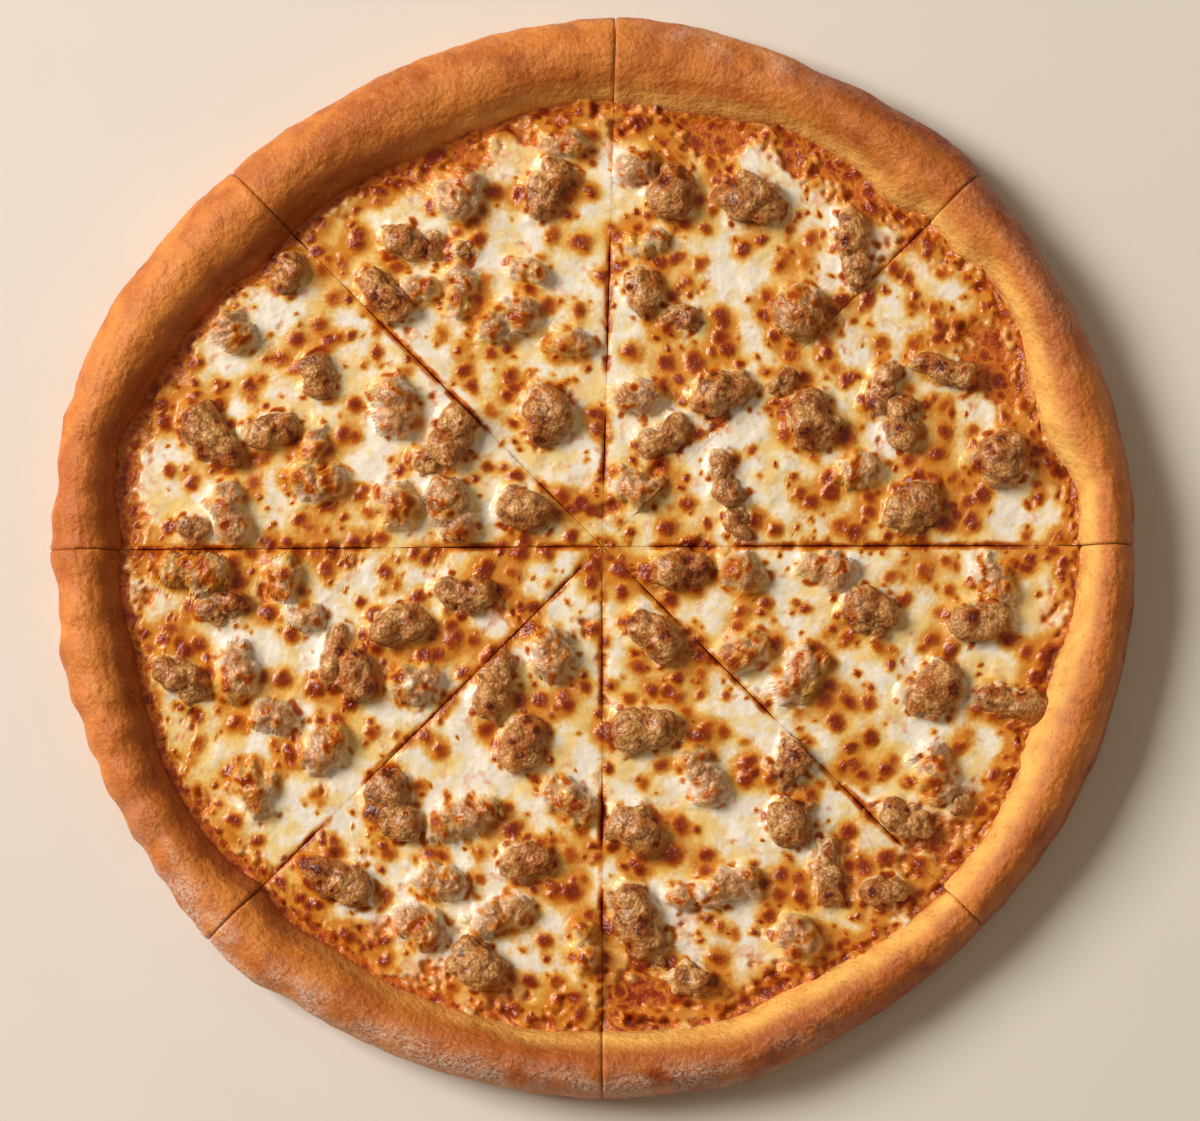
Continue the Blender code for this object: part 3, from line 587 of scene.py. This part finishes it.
class LumpForm:
    """The shape of one lump: flattened round knobs, grown together."""

    def __init__(self, lump, seed):
        self.seed = seed
        self.coat = lump.coat
        self.turn = math.radians(lump.turn)
        self.centre = np.array([lump.x + TABLE_SHIFT[0], lump.y + TABLE_SHIFT[1]], dtype=float)
        self.reach, self.half_width = lump.length / 2, lump.width / 2
        height = lump.width * LUMP_HEIGHT_SHARE + LUMP_HEIGHT_EXTRA
        self.flatten = height * (1 - LUMP_SINK) / self.half_width
        self.bed = LUMP_BED + height * LUMP_SINK
        self.knobs = np.array(self.large_knobs() + self.small_knobs())

    def large_knobs(self):
        """Centre along, across and up, and radius, of the knobs that the solid has too."""
        draw = random.Random(self.seed)
        count = max(3, round(2.2 * self.reach / self.half_width))
        knobs = []
        for i in range(count):
            radius = self.half_width * draw.uniform(*KNOB_SIZES)
            along = (2 * i / (count - 1) - 1) * (self.reach - radius)
            across = draw.uniform(-1, 1) * (self.half_width - radius) * KNOB_SWAY
            knobs.append((along, across, draw.uniform(-0.15, 0.25) * radius, radius))
        return knobs

    def small_knobs(self):
        """Smaller knobs near the lump's skin, which make it crumbly."""
        draw = random.Random(self.seed + 5000)
        knobs = []
        for i in range(SMALL_KNOBS):
            radius = self.half_width * draw.uniform(*SMALL_KNOB_SIZES)
            around, out = draw.uniform(0, 2 * math.pi), draw.uniform(0.45, 1.28)
            along = math.cos(around) * out * (self.reach - radius)
            across = math.sin(around) * out * (self.half_width - radius)
            knobs.append((along, across, max(0, 1.0 - out) * self.half_width * 0.8, radius))
        return knobs

    def top(self, x, y):
        """Height of the lump's surface over points in the plane, and how far inside its outline they are."""
        along, across = turned_by(x - self.centre[0], y - self.centre[1], -self.turn)
        height, inside = np.full((2, len(x)), -99.0)
        for knob_along, knob_across, up, radius in self.knobs:
            away = np.hypot(along - knob_along, across - knob_across)
            rise = np.sqrt(np.maximum(radius * radius - away * away, 0))
            height = np.maximum(height, np.where(away < radius, self.flatten * (up + rise), -99.0))
            inside = np.maximum(inside, radius - away)
        return self.bed + height, inside

    def skin_reach(self, way):
        """How far the knobs reach from the lump's middle in each direction."""
        centres, radii = self.knobs[:, :3], self.knobs[:, 3]
        near = way @ centres.T
        inside = near ** 2 - np.sum(centres ** 2, axis=1) + radii ** 2
        reach = np.where(inside > 0, near + np.sqrt(np.maximum(inside, 0)), 0)
        return np.sum(np.maximum(reach, 0.01) ** KNOB_JOIN, axis=1) ** (1 / KNOB_JOIN)

    def points(self):
        """Points in rings over the lump, and how far each stands out between its grains."""
        counts = np.array([max(1, 6 * ring) for ring in range(LUMP_RINGS + 1)])
        polar = LUMP_POLAR_REACH * np.repeat(np.arange(LUMP_RINGS + 1), counts) / LUMP_RINGS
        around = 2 * math.pi * np.concatenate([np.arange(count) / count for count in counts])
        way = np.stack([
            np.sin(polar) * np.cos(around), np.sin(polar) * np.sin(around), np.cos(polar)
        ], axis=1)
        reach = self.skin_reach(way)
        shape = way * reach[:, None]
        grains = granules(shape, 5.2, self.seed)
        small = granules(shape, 2.2, self.seed + 1)
        reach += 1.35 * (grains - 0.5) + 0.42 * (small - 0.4)
        reach += 1.6 * noise(shape, 6.0, self.seed) + 0.25 * noise(shape, 1.8, self.seed + 2)
        shape = way * reach[:, None]
        x, y = turned_by(shape[:, 0], shape[:, 1], self.turn)
        height = np.maximum(shape[:, 2] * self.flatten + self.bed, CHEESE_BOTTOM + 0.3)
        points = np.stack([x + self.centre[0], y + self.centre[1], height], axis=1)
        return points, 0.6 * grains + 0.4 * small

    def fit_to_node(self, points, node):
        """Moves the lump and its points to where its solid stands."""
        low, high = (np.array(corner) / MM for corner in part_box(node))
        move = (low + high) / 2 - (points.min(axis=0) + points.max(axis=0)) / 2
        move[2] = high[2] - points[:, 2].max()
        self.centre += move[:2]
        self.bed += move[2]
        points += move
        points[:, 2] = np.maximum(points[:, 2], CHEESE_BOTTOM + 0.3)

    def film(self, points):
        """How far cheese has climbed over each of the lump's points, from 0 to 1."""
        over_cheese = points[:, 2] - CHEESE_TOP - 1.1
        away_x, away_y = points[:, 0] - self.centre[0], points[:, 1] - self.centre[1]
        side = (away_y - away_x) * 0.6 / self.reach
        reached = 0.8 + 3.4 * self.coat + 1.9 * side + 2.0 * noise(points, 5.5, self.seed + 3)
        return 1 - ease(over_cheese, reached - 2.0, reached)


def keep_in_slice(piece, points):
    """Moves points that would reach over one of a slice's cuts back to it."""
    tip = place(piece, np.array([piece.start]), np.array([SLICE_SHIFT]), 0.0)[0, :2]
    for cut, inward in ((piece.start, 1), (piece.end, -1)):
        turn = math.radians(cut)
        across = inward * np.array([-math.sin(turn), math.cos(turn)])
        short = np.maximum(CUT_CLEARANCE - (points[:, :2] - tip) @ across, 0)
        points[:, :2] += short[:, None] * across


def lump_faces():
    """Triangles between the rings of a lump, and one face below."""
    faces = []
    first = 0
    for ring in range(LUMP_RINGS):
        inner, outer = max(1, 6 * ring), 6 * (ring + 1)
        second = first + inner
        for k in range(outer):
            a, b = k * inner // outer, (k + 1) * inner // outer
            faces.append((first + a % inner, second + k, second + (k + 1) % outer))
            if a != b and inner > 1:
                faces.append((first + a % inner, second + (k + 1) % outer, first + b % inner))
        first = second
    faces.append(tuple(first + i for i in reversed(range(6 * LUMP_RINGS))))
    return faces


def rim_blisters(draw):
    """Dark blisters in the baked edge of the cheese, along the foot of the rim."""
    blisters = []
    for piece in SLICES:
        for i in range(RIM_BLISTERS):
            angle = np.array([draw.uniform(piece.start, piece.end)])
            radius = read_rim(piece, angle)[1] - draw.uniform(0.3, 6.0)
            x, y = place(piece, angle, radius, 0.0)[0, :2]
            size = 0.8 + 2.0 * draw.random() ** 1.5
            stretch, turn, strength = draw.uniform(1, 1.4), draw.uniform(0, 3.1), draw.uniform(0.6, 1.05)
            blisters.append((x, y, size, stretch, turn, strength))
    return blisters


def all_blisters():
    """Every blister as x, y, radius, length to width, turn and strength: the ones read from the photograph
    and many small ones, which lie in loose groups.
    """
    draw = random.Random(41)
    blisters = []
    for x, y, radius in BLISTERS:
        stretch, turn, strength = draw.uniform(1, 1.3), draw.uniform(0, 3.1), draw.uniform(0.85, 1.1)
        blisters.append((*from_photo(x, y), radius * PIXEL, stretch, turn, strength))
    while len(blisters) < len(BLISTERS) + BLISTER_COUNT:
        reach, around = BLISTER_REACH * math.sqrt(draw.random()), draw.uniform(0, 2 * math.pi)
        x, y = reach * math.cos(around) + CUT_CENTRE[0], reach * math.sin(around) + CUT_CENTRE[1]
        radius = 0.7 + 3.0 * draw.random() ** 2.0
        stretch, turn = draw.uniform(1, 1.5), draw.uniform(0, math.pi)
        strength = 0.36 + 0.74 * draw.random() ** 0.6
        if crowding(np.array([[x, y, 0.0]]))[0] > draw.uniform(-0.95, 0.35):
            blisters.append((x, y, radius, stretch, turn, strength))
    return np.array(blisters + rim_blisters(draw))


def blister_fields(x, y, blisters):
    """How brown and how golden each point is from the blisters round it, and how far they lift it."""
    brown, gold, lift = np.zeros((3, len(x)))
    spots = flat(x, y)
    warp_x = x + 0.60 * noise(spots, 3.4, 7) + 0.28 * noise(spots, 1.4, 8)
    warp_y = y + 0.60 * noise(spots, 3.4, 9) + 0.28 * noise(spots, 1.4, 10)
    order = np.argsort(x)
    rising = x[order]
    for blister_x, blister_y, radius, stretch, turn, strength in blisters:
        span = radius * 4.2
        first, last = np.searchsorted(rising, (blister_x - span, blister_x + span))
        near = order[first:last]
        near = near[np.abs(y[near] - blister_y) < span]
        if not len(near):
            continue
        along, across = turned_by(warp_x[near] - blister_x, warp_y[near] - blister_y, -turn)
        away = np.hypot(along / math.sqrt(stretch), across * math.sqrt(stretch)) / radius
        brown[near] = np.maximum(brown[near], strength * (1 - ease(away, 0.1, 1.4)))
        halo = (0.40 + 0.45 * strength) * np.exp(-(away / 1.55) ** 2)
        gold[near] += halo * (1 - 0.75 * np.minimum(gold[near], 1))
        dome = np.sqrt(np.maximum(1 - away ** 2, 0))
        crater = 0.5 * np.exp(-(away / 0.5) ** 2) * (radius > 2.2)
        lift[near] += strength * 0.30 * math.sqrt(radius) * (dome - crater)
    return brown, gold, lift


def sauce_field(x, y, to_edge):
    """How bare the sauce lies, from 0 under thick cheese to 1."""
    amount = 0.40 * noise(flat(x, y), 7, 11) + 0.42 * noise(flat(x, y), 2.8, 12)
    amount += 0.42 * (1 - ease(to_edge, 0.0, 4.0)) + 0.20 * (1 - ease(to_edge, 0, 16))
    for pixel_x, pixel_y, radius, strength in SAUCE_PATCHES:
        patch_x, patch_y = from_photo(pixel_x, pixel_y)
        away = np.hypot(x - patch_x, y - patch_y) / (radius * PIXEL)
        amount += 0.8 * strength * np.exp(-away ** 2)
    return np.clip(amount, 0, 1)


def wedge_rows(piece, cell):
    """Angle, share of the radius and row of each point of a slice's grid, with rows round the tip."""
    middle = (piece.start + piece.end) / 2
    reach = read_rim(piece, np.array([middle]))[1][0]
    count = round(reach / cell)
    span = math.radians(piece.end - piece.start)
    widths = [0] + [max(1, round(span * reach * i / count / cell)) for i in range(1, count + 1)]
    angle = [np.array([middle])] + [np.linspace(piece.start, piece.end, width + 1) for width in widths[1:]]
    share = [np.full(width + 1, i / count) for i, width in enumerate(widths)]
    return np.concatenate(angle), np.concatenate(share), widths


def grid_faces(widths):
    """Triangles between the rows of a slice's grid, and the loop of its border."""
    faces = []
    starts = [0, *itertools.accumulate(width + 1 for width in widths)]
    for first, second, inner, outer in zip(starts, starts[1:], widths, widths[1:]):
        for k in range(outer):
            a, b = k * inner // outer, (k + 1) * inner // outer
            faces.append((first + a, second + k, second + k + 1))
            if a != b:
                faces.append((first + a, second + k + 1, first + b))
    rising = starts[:-1]
    last_row = list(range(rising[-1] + 1, rising[-1] + widths[-1] + 1))
    falling = [first + width for first, width in zip(starts[1:-2], widths[1:-1])]
    return faces, rising + last_row + falling[::-1]


def add_walls(points, faces, border, bottom):
    """Closes a top surface with walls from its border down to bottom and a face below."""
    below = points[border].copy()
    below[:, 2] = bottom
    first, count = len(points), len(border)
    for i in range(count):
        j = (i + 1) % count
        faces.append((border[i], first + i, first + j, border[j]))
    faces.append(tuple(first + i for i in reversed(range(count))))
    return np.concatenate([points, below])


def inner_slope(share, crest):
    """Height of the rim's inner slope, at a share of the way from its foot to its crest."""
    return BASE_TOP + (1 - (1 - share) ** 2) ** INNER_ROUNDNESS * (crest - BASE_TOP)


def crust_top(piece, angle, radius):
    """Height of the rim's inner slope at a radius beyond its foot."""
    outer, foot = read_rim(piece, angle)
    crest_radius = outer - CREST_SHARE * (outer - foot)
    return inner_slope(np.clip((radius - foot) / (crest_radius - foot), 0, 1), crest_height(angle))


def melted_together(first, second, softness):
    """The higher of two heights, with a soft fillet where they cross."""
    share = np.clip(0.5 + 0.5 * (second - first) / softness, 0, 1)
    return first + (second - first) * share + softness * share * (1 - share) * 0.5


def cheese_over_lumps(x, y, level, forms):
    """The cheese's height where it has run over lumps, the meat that shows through it, how near it is to a
    lump's outline and how steep it falls there.
    """
    meat, by_lump, steep = np.zeros((3, len(x)))
    spots = flat(x, y)
    slow, quick = noise(spots, 6.5, 21), noise(spots, 2.4, 22)
    rough = granules(spots, 2.6, 23) - 0.4
    warp_x, warp_y = x + 1.3 * noise(spots, 4.4, 24), y + 1.3 * noise(spots, 4.4, 25)
    for form in forms:
        away_x, away_y = x - form.centre[0], y - form.centre[1]
        near = np.flatnonzero(np.hypot(away_x, away_y) < form.reach + 5)
        top, inside = form.top(warp_x[near], warp_y[near])
        side = (away_x[near] * -0.6 + away_y[near] * 0.6) / form.reach
        outside = np.maximum(-inside, 0)
        if form.coat > COVERED:
            over = np.where(inside > 0, top, -99.0) + 0.35 + 0.65 * rough[near] + 0.55 * quick[near]
            risen = melted_together(level[near] + 0.8 * np.exp(-(outside / 2.0) ** 2), over, MELT)
            thick = 3.0 * (form.coat - 0.88) + 0.8 * side + 1.5 * slow[near] + 0.6 * quick[near]
            shows = ease(inside, -1.2, 2.2) * (1 - 0.85 * ease(thick, -0.3, 0.9))
            steep[near] = np.maximum(steep[near], np.exp(-((inside - 0.3) / 1.2) ** 2))
        else:
            over = np.where(inside > 1.0, top - 2.0, -99.0)
            bank = level[near] + (1.0 + 0.5 * side) * np.exp(-(outside / 2.2) ** 2)
            risen = melted_together(bank, over, 1.1)
            shows = ease(inside, -0.6, 0.8)
        level[near] += ease(inside, -3.5, -0.5) * (risen - level[near])
        meat[near] = np.maximum(meat[near], shows)
        by_lump[near] = np.maximum(by_lump[near], np.exp(-(outside / 2.2) ** 2))
    return level, meat, by_lump, steep


def healed_share(points, angle, radius):
    """How far the cheese has grown together again over a cut, from 0 to 1."""
    cut, inner, outer = HEALED_CUT
    by_cut = 1 - np.minimum(np.abs(angle - cut), 22) / 22
    along = ease(radius, inner, inner + 8) * (1 - ease(radius, outer - 10, outer))
    return np.maximum(patches(points, 24, 36, -0.05, 0.3), along * by_cut)


def ooze(piece, points, angle, radius, most):
    """Points near a cut moved out towards the next slice, by most on average, so that the cut is narrow."""
    side = np.where(angle * 2 < piece.start + piece.end, -1, 1)
    turns = np.radians(np.where(side < 0, piece.start, piece.end))
    amount = np.minimum(most * (1 + 0.3 * noise(points, 7, 61)), MOST_OOZE)
    amount *= side * (1 - ease(cut_distance(piece, angle, radius), 0, 6)) * ease(radius, 1.0, 2.5)
    points[:, 0] -= amount * np.sin(turns)
    points[:, 1] += amount * np.cos(turns)
    return points


def toasting(spots, brown, gold, meat, by_lump, steep, near_cut, to_rim):
    """How brown and how golden the cheese is, with what lumps, cuts and the rim add to its blisters; the
    brown round the lumps is partly painted contact shade.
    """
    gold += 0.16 * ease(crowding(spots) + 0.6 * noise(spots, 4.5, 32), 0.1, 1.0) + 0.36 * to_rim
    gold += 0.25 * meat * patches(spots, 5, 35, -0.1, 0.5)
    gold += 0.6 * near_cut * patches(spots, 8, 33, -0.3, 0.3)
    gold += 0.25 * by_lump * patches(spots, 6, 37, -0.2, 0.5)
    gold *= (1 - 0.75 * meat) * (1 - 0.3 * steep)
    # Browned cheese round the lumps, partly painted contact shade where they meet the cheese.
    brown = np.maximum(brown, 0.95 * by_lump * patches(spots, 3.8, 38, 0.0, 0.6))
    brown = np.maximum(brown, 0.55 * to_rim * patches(spots, 3.4, 47, -0.05, 0.6))
    brown = np.maximum(brown, 0.9 * near_cut * patches(spots, 6, 46, -0.25, 0.4))
    return brown * (1 - 0.2 * meat) * (1 - 0.6 * steep), np.clip(gold, 0, 1)


def make_cheese(piece, look, forms, blisters):
    """The melted cheese of a slice, with sauce where it is thin or missing."""
    angle, share, widths = wedge_rows(piece, CHEESE_CELL)
    foot = read_rim(piece, angle)[1]
    edge = foot + EDGE_IN_CRUST
    radius = SLICE_SHIFT + share * (edge - SLICE_SHIFT)
    radius[0] -= TIP_REACH
    points = place(piece, angle, radius, 0.0)
    healed = healed_share(points, angle, radius)
    points = ooze(piece, points, angle, radius, 0.34 + 0.18 * np.maximum(healed, 1 - ease(radius, 5, 14)))
    x, y = points[:, 0].copy(), points[:, 1].copy()
    spots = flat(x, y)
    sauce = sauce_field(x, y, foot - radius)
    # Darker sauce colour at the cheese's edge by the far-left rim: partly bare sauce, partly the rim's
    # painted shade.
    sauce += 0.55 * far_left_share(angle % 360) * (1 - ease(foot - radius, 0, 5))
    brown, gold, lift = blister_fields(x, y, blisters)
    level = CHEESE_TOP + 0.60 * noise(spots, 15, 1) + 0.36 * noise(spots, 6, 2) + 0.12 * noise(spots, 2.2, 3)
    thin = ease(sauce, 0.35, 0.75)
    level += thin * (SAUCE_TOP + 0.7 - level)
    level, meat, by_lump, steep = cheese_over_lumps(x, y, level, forms)
    level += lift * (1 - 0.8 * thin)
    level += EDGE_CLIMB * ease(radius, foot - 2.5, foot + 0.6) * (1 + 0.7 * noise(spots, 4, 5))
    most = np.where(radius > foot - 0.3, crust_top(piece, angle, edge) - 0.7, 99.0)
    near_cut = (1 - ease(cut_distance(piece, angle, radius), 0.0, CUT_SAG_WIDTH)) * (1 - 0.8 * healed)
    level = np.minimum(level, most) - CUT_SAG * near_cut ** 2
    points[:, 2] = np.maximum(level, SAUCE_TOP + 0.1)
    to_rim = 1 - ease(foot - radius, 0, 14)
    brown, gold = toasting(spots, brown, gold, meat, by_lump, steep, near_cut, to_rim)
    sauce = np.maximum(sauce, 0.95 * near_cut * patches(spots, 9, 34, -0.55, 0.15))
    faces, border = grid_faces(widths)
    fields = {"brown": brown, "gold": gold, "sauce": sauce, "meat": meat}
    fields = {name: np.concatenate([values, values[border]]) for name, values in fields.items()}
    points = add_walls(points, faces, border, CHEESE_BOTTOM)
    number = piece.number
    make_piece(f"melted_cheese_{number}", points, faces, f"cheese_{number}", [look], fields)


def crust_section(piece, angle):
    """Radius and height of the crust's skin, from its foot over the rim to the underside.

    Rows are points of the section and columns are angles.
    """
    outer, foot = read_rim(piece, angle)
    crest = crest_height(angle)
    crest_radius = outer - CREST_SHARE * (outer - foot)
    radius, height = [foot * 0.5], [np.full(len(angle), BASE_TOP)]
    inner_steps, upper_steps, lower_steps = (round(length / CRUST_CELL) for length in (24, 24, 11))
    for i in range(inner_steps):
        share = (i / inner_steps) ** 1.5
        radius.append(foot + share * (crest_radius - foot))
        height.append(inner_slope(share, crest))
    for i in range(upper_steps):
        turn = math.radians(90 * (1 - i / upper_steps))
        radius.append(crest_radius + (outer - crest_radius) * math.cos(turn))
        height.append(WIDEST_HEIGHT + (crest - WIDEST_HEIGHT) * math.sin(turn))
    for i in range(lower_steps + 1):
        turn = math.radians(90 * i / lower_steps)
        radius.append(outer - UNDER_TUCK * (1 - math.cos(turn)))
        height.append(WIDEST_HEIGHT * (1 - math.sin(turn)) + np.zeros(len(angle)))
    return np.array(radius), np.array(height)


def along_rim(turned, first, full, fading, last):
    """1 along the rim between the angles full and fading, and 0 before first and after last."""
    return ease(turned, first, full) * (1 - ease(turned, fading, last))


def far_left_share(turned):
    """1 along the left part of the rim, whose inner side faces away from the light and is painted darkest,
    and 0 elsewhere.
    """
    return along_rim(turned, 98, 125, 222, 256)


def crust_relief(spots, angle, height, to_cut, foot_share):
    """How far the skin lies inside its smooth form: hollows, pimples, streaks and rounded cut edges."""
    along, reach = np.radians(angle) * 170, np.hypot(spots[:, 0], spots[:, 1])
    streaks = noise(np.stack([along * 0.22, reach, height], axis=1), 1.9, 44)
    relief = 0.5 * (noise(spots, 19, 41) - 0.8) + 0.36 * noise(spots, 6.5, 42)
    relief += 0.15 * noise(spots, 2.1, 43) + 0.20 * streaks * (1 - 0.6 * foot_share)
    waves = np.sin(np.radians(angle) * 72 + noise(spots, 20, 45)) - 1
    relief += 0.45 * along_rim(angle % 360, 160, 170, 216, 226) * waves * ease(height, 2, 8)
    relief *= 1 - 0.8 * ease(foot_share, 0.7, 0.95)
    return relief - 0.5 * (1 - ease(to_cut, 0, 1.1)) ** 2


def crust_fields(spots, angles, radius, height, outer, foot_share):
    """Where the crust is golden, floury, toasted and singed, with painted light in the golden field and
    painted shade in the toast field.
    """
    turned = angles % 360
    far_left = far_left_share(turned)
    facing_shade = np.cos(np.radians(angles - SHADED_SIDE))
    lit = ease(facing_shade, 0.0, 0.95)
    # Painted light: the golden foot reaches further up where the inner slope faces the light, and hardly
    # shows on the shaded far left.
    golden_and_lit = ease(foot_share, 0.45 - 0.3 * lit, 1.0 - 0.3 * lit) * (1 - 0.9 * far_left)
    floury = along_rim(turned, 205, 222, 283, 300) + 0.6 * along_rim(turned, 60, 70, 80, 88)
    floury += 0.35 * (turned < 45) * (turned > 20)
    floury *= ease(radius, outer - 14, outer - 4) * patches(spots, 9, 51, -0.5, 0.4)
    toast_and_shade = 0.55 * ease(noise(spots, 15, 52) + 0.5 * noise(spots, 5, 53), 0.1, 0.9)
    toast_and_shade += 0.25 * ease(height, 17, 26)
    # Painted shade low on the outer wall where it faces away from the light.
    low_outside = ease(radius, outer - 10, outer - 1) * (1 - ease(height, 14, 23))
    toast_and_shade += 0.9 * np.clip(facing_shade, 0, 1) * low_outside
    # On the far left: less toast high up, which paints the crest there lighter, and the inner slope, which
    # faces away from the light, painted dark.
    toast_and_shade *= 1 - 0.6 * far_left * ease(height, 15, 23)
    toast_and_shade += far_left * ease(foot_share, 0.40, 0.80)
    # Painted shade on the outer side of the upper right, which faces away from the light.
    toast_and_shade += 0.8 * along_rim(turned, 18, 36, 58, 74) * ease(radius, outer - 12, outer - 3)
    toast_and_shade += 0.35 * along_rim(turned, 235, 255, 290, 310) * ease(height, 16, 24)
    singed = ease(noise(spots, 5, 54) + 0.5 * noise(spots, 2, 55), -0.5, 0.5) * ease(foot_share, 0.80, 1.0)
    return {"golden_and_lit": golden_and_lit, "flour": floury, "toast_and_shade": np.clip(toast_and_shade, 0, 1), "singed": singed}


def crust_faces(rows, columns):
    """Faces of the skin between its rows, of the base above and below, and last the two at the cuts."""
    width = columns + 1
    top, bottom = rows * width, rows * width + 1
    last = top - width
    faces = []
    for row in range(rows - 1):
        for a in range(row * width, row * width + columns):
            faces.append((a, a + width, a + width + 1, a + 1))
    for k in range(columns):
        faces.append((top, k, k + 1))
        faces.append((bottom, last + k + 1, last + k))
    faces.append((bottom, *range(last, -1, -width), top))
    faces.append((top, *range(columns, top, width), bottom))
    return faces


def make_crust(piece, looks):
    """The crust of a slice: base and raised rim."""
    columns = round(math.radians(piece.end - piece.start) * RIM_RADIUS / CRUST_CELL)
    angle = np.linspace(piece.start, piece.end, columns + 1)
    radius, height = crust_section(piece, angle)
    rows = len(radius)
    run, rise = np.gradient(radius, axis=0).ravel(), np.gradient(height, axis=0).ravel()
    length = np.maximum(np.hypot(run, rise), 1e-6)
    outer, foot = read_rim(piece, angle)
    foot_share = np.clip(1 - (radius - foot) / (0.5 * (outer - foot)), 0, 1).ravel()
    radius, height = radius.ravel(), height.ravel()
    outer, angles = np.tile(outer, rows), np.tile(angle, rows)
    spots = place(piece, angles, radius, height)
    relief = crust_relief(spots, angles, height, cut_distance(piece, angles, radius), foot_share)
    relief[:2 * len(angle)] = 0
    relief *= ease(height, 0.0, 3.0)
    radius = np.minimum(radius - rise / length * relief, outer)
    height = np.maximum(height + run / length * relief, 0.0)
    points = ooze(piece, place(piece, angles, radius, height), angles, radius, CRUST_OOZE)
    tip = place(piece, np.full(2, piece.start), np.full(2, SLICE_SHIFT), np.array([BASE_TOP, 0.0]))
    faces = crust_faces(rows, columns)
    fields = crust_fields(spots, angles, radius, height, outer, foot_share)
    fields = {name: np.append(values, [0, 0]) for name, values in fields.items()}
    slots = [0] * (len(faces) - 2) + [1, 1]
    number = piece.number
    make_piece(f"baked_crust_{number}", np.concatenate([points, tip]), faces, f"crust_{number}",
               looks, fields, slots)


def lump_fields(form, points, crest, blisters):
    """The values that a lump's material reads."""
    brown = blister_fields(points[:, 0], points[:, 1], blisters)[0]
    return {"crest": crest, "brown": brown, "film": form.film(points)}


def make_slice(piece, looks, faces, blisters):
    """Every piece of one slice."""
    number = piece.number
    make_crust(piece, [looks["crust"], looks["crumb"]])
    forms, bits, bit_fields = [], [], []
    for i, row in enumerate(piece.own, start=1):
        form = LumpForm(Lump(*row), number * 100 + i)
        points, crest = form.points()
        node = f"sausage_{number}_{i}"
        form.fit_to_node(points, node)
        keep_in_slice(piece, points)
        fields = lump_fields(form, points, crest, blisters)
        make_piece(f"lump_{number}_{i}", points, faces, node, [looks["sausage"]], fields)
        forms.append(form)
    for i, row in enumerate(piece.fused, start=1):
        form = LumpForm(Lump(*row), number * 100 + 50 + i)
        forms.append(form)
        if form.coat <= COVERED:
            points, crest = form.points()
            keep_in_slice(piece, points)
            bits.append(points)
            bit_fields.append(lump_fields(form, points, crest, blisters))
    each = len(bits[0])
    bit_faces = [tuple(i + n * each for i in face) for n in range(len(bits)) for face in faces]
    fields = {name: np.concatenate([one[name] for one in bit_fields]) for name in bit_fields[0]}
    make_piece(f"lumps_in_cheese_{number}", np.concatenate(bits), bit_faces, f"cheese_{number}",
               [looks["sausage"]], fields)
    make_cheese(piece, looks["cheese"], forms, blisters)
    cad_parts[f"sauce_{number}"].data.materials[0] = looks["sauce"]


def make_floor():
    """A plain pale floor under the pizza."""
    half = 2.0
    mesh = bpy.data.meshes.new("floor")
    corners = [(-half, -half, 0), (half, -half, 0), (half, half, 0), (-half, half, 0)]
    mesh.from_pydata(corners, [], [(0, 1, 2, 3)])
    floor = bpy.data.objects.new("floor", mesh)
    floor.location.z = -0.0002
    bpy.context.scene.collection.objects.link(floor)
    look = Look("pale_floor")
    colour = look.mix(look.noise(60, 2), (0.78, 0.76, 0.73), (0.82, 0.80, 0.77))
    mesh.materials.append(look.finish(colour, 0.7, look.bumps((look.noise(2, 2), 0.02))))


def aimed(name, data, azimuth, elevation, distance, aim=Vector()):
    """A new lamp or camera that looks at a point, aim, from a distance in metres. Azimuth 0 is the
    photo's right and 90 its top.
    """
    turn, rise = math.radians(azimuth), math.radians(elevation)
    way = Vector((math.cos(rise) * math.cos(turn), math.cos(rise) * math.sin(turn), math.sin(rise)))
    made = bpy.data.objects.new(name, data)
    made.location = aim + way * distance
    made.rotation_euler = way.to_track_quat("Z", "Y").to_euler()
    bpy.context.scene.collection.objects.link(made)
    return made


def add_light(name, azimuth, elevation, distance, size, power, colour):
    """A square soft light that shines on the pizza."""
    light = bpy.data.lights.new(name, "AREA")
    light.size = size
    light.energy = power
    light.color = colour
    aimed(name, light, azimuth, elevation, distance)


def light_scene():
    """A warm key from the upper left, as in the photograph, and soft light from all round."""
    add_light("key", 157, 40, 3.2, 1.40, 119.0, (1.0, 0.92, 0.82))
    add_light("fill", 20, 62, 1.6, 1.4, 2.2, (1.0, 0.82, 0.60))
    world = bpy.data.worlds.new("studio")
    world.use_nodes = True
    background = world.node_tree.nodes["Background"]
    background.inputs["Color"].default_value = (1.0, 0.74, 0.46, 1)
    background.inputs["Strength"].default_value = 0.15
    bpy.context.scene.world = world
    bpy.context.scene.view_settings.view_transform = "Standard"


def add_camera():
    """The photograph's view: from straight above, a little from the near side, through a long lens."""
    distance = 1.7
    camera = bpy.data.cameras.new("camera")
    camera.sensor_width = 36
    camera.lens = camera.sensor_width * distance / (PHOTO_SIZE[0] * PIXEL * MM)
    aim_x, aim_y = from_photo(PHOTO_SIZE[0] / 2, PHOTO_SIZE[1] / 2)
    aim = Vector((aim_x * MM, aim_y * MM, 0.012))
    bpy.context.scene.camera = aimed("camera", camera, -90, 87.5, distance, aim)


def main():
    looks = {
        "crust": crust_look(), "crumb": crumb_look(), "cheese": cheese_look(),
        "sauce": sauce_look(), "sausage": sausage_look(),
    }
    faces = lump_faces()
    blisters = all_blisters()
    for piece in SLICES:
        make_slice(piece, looks, faces, blisters)
    make_floor()
    light_scene()
    add_camera()


main()
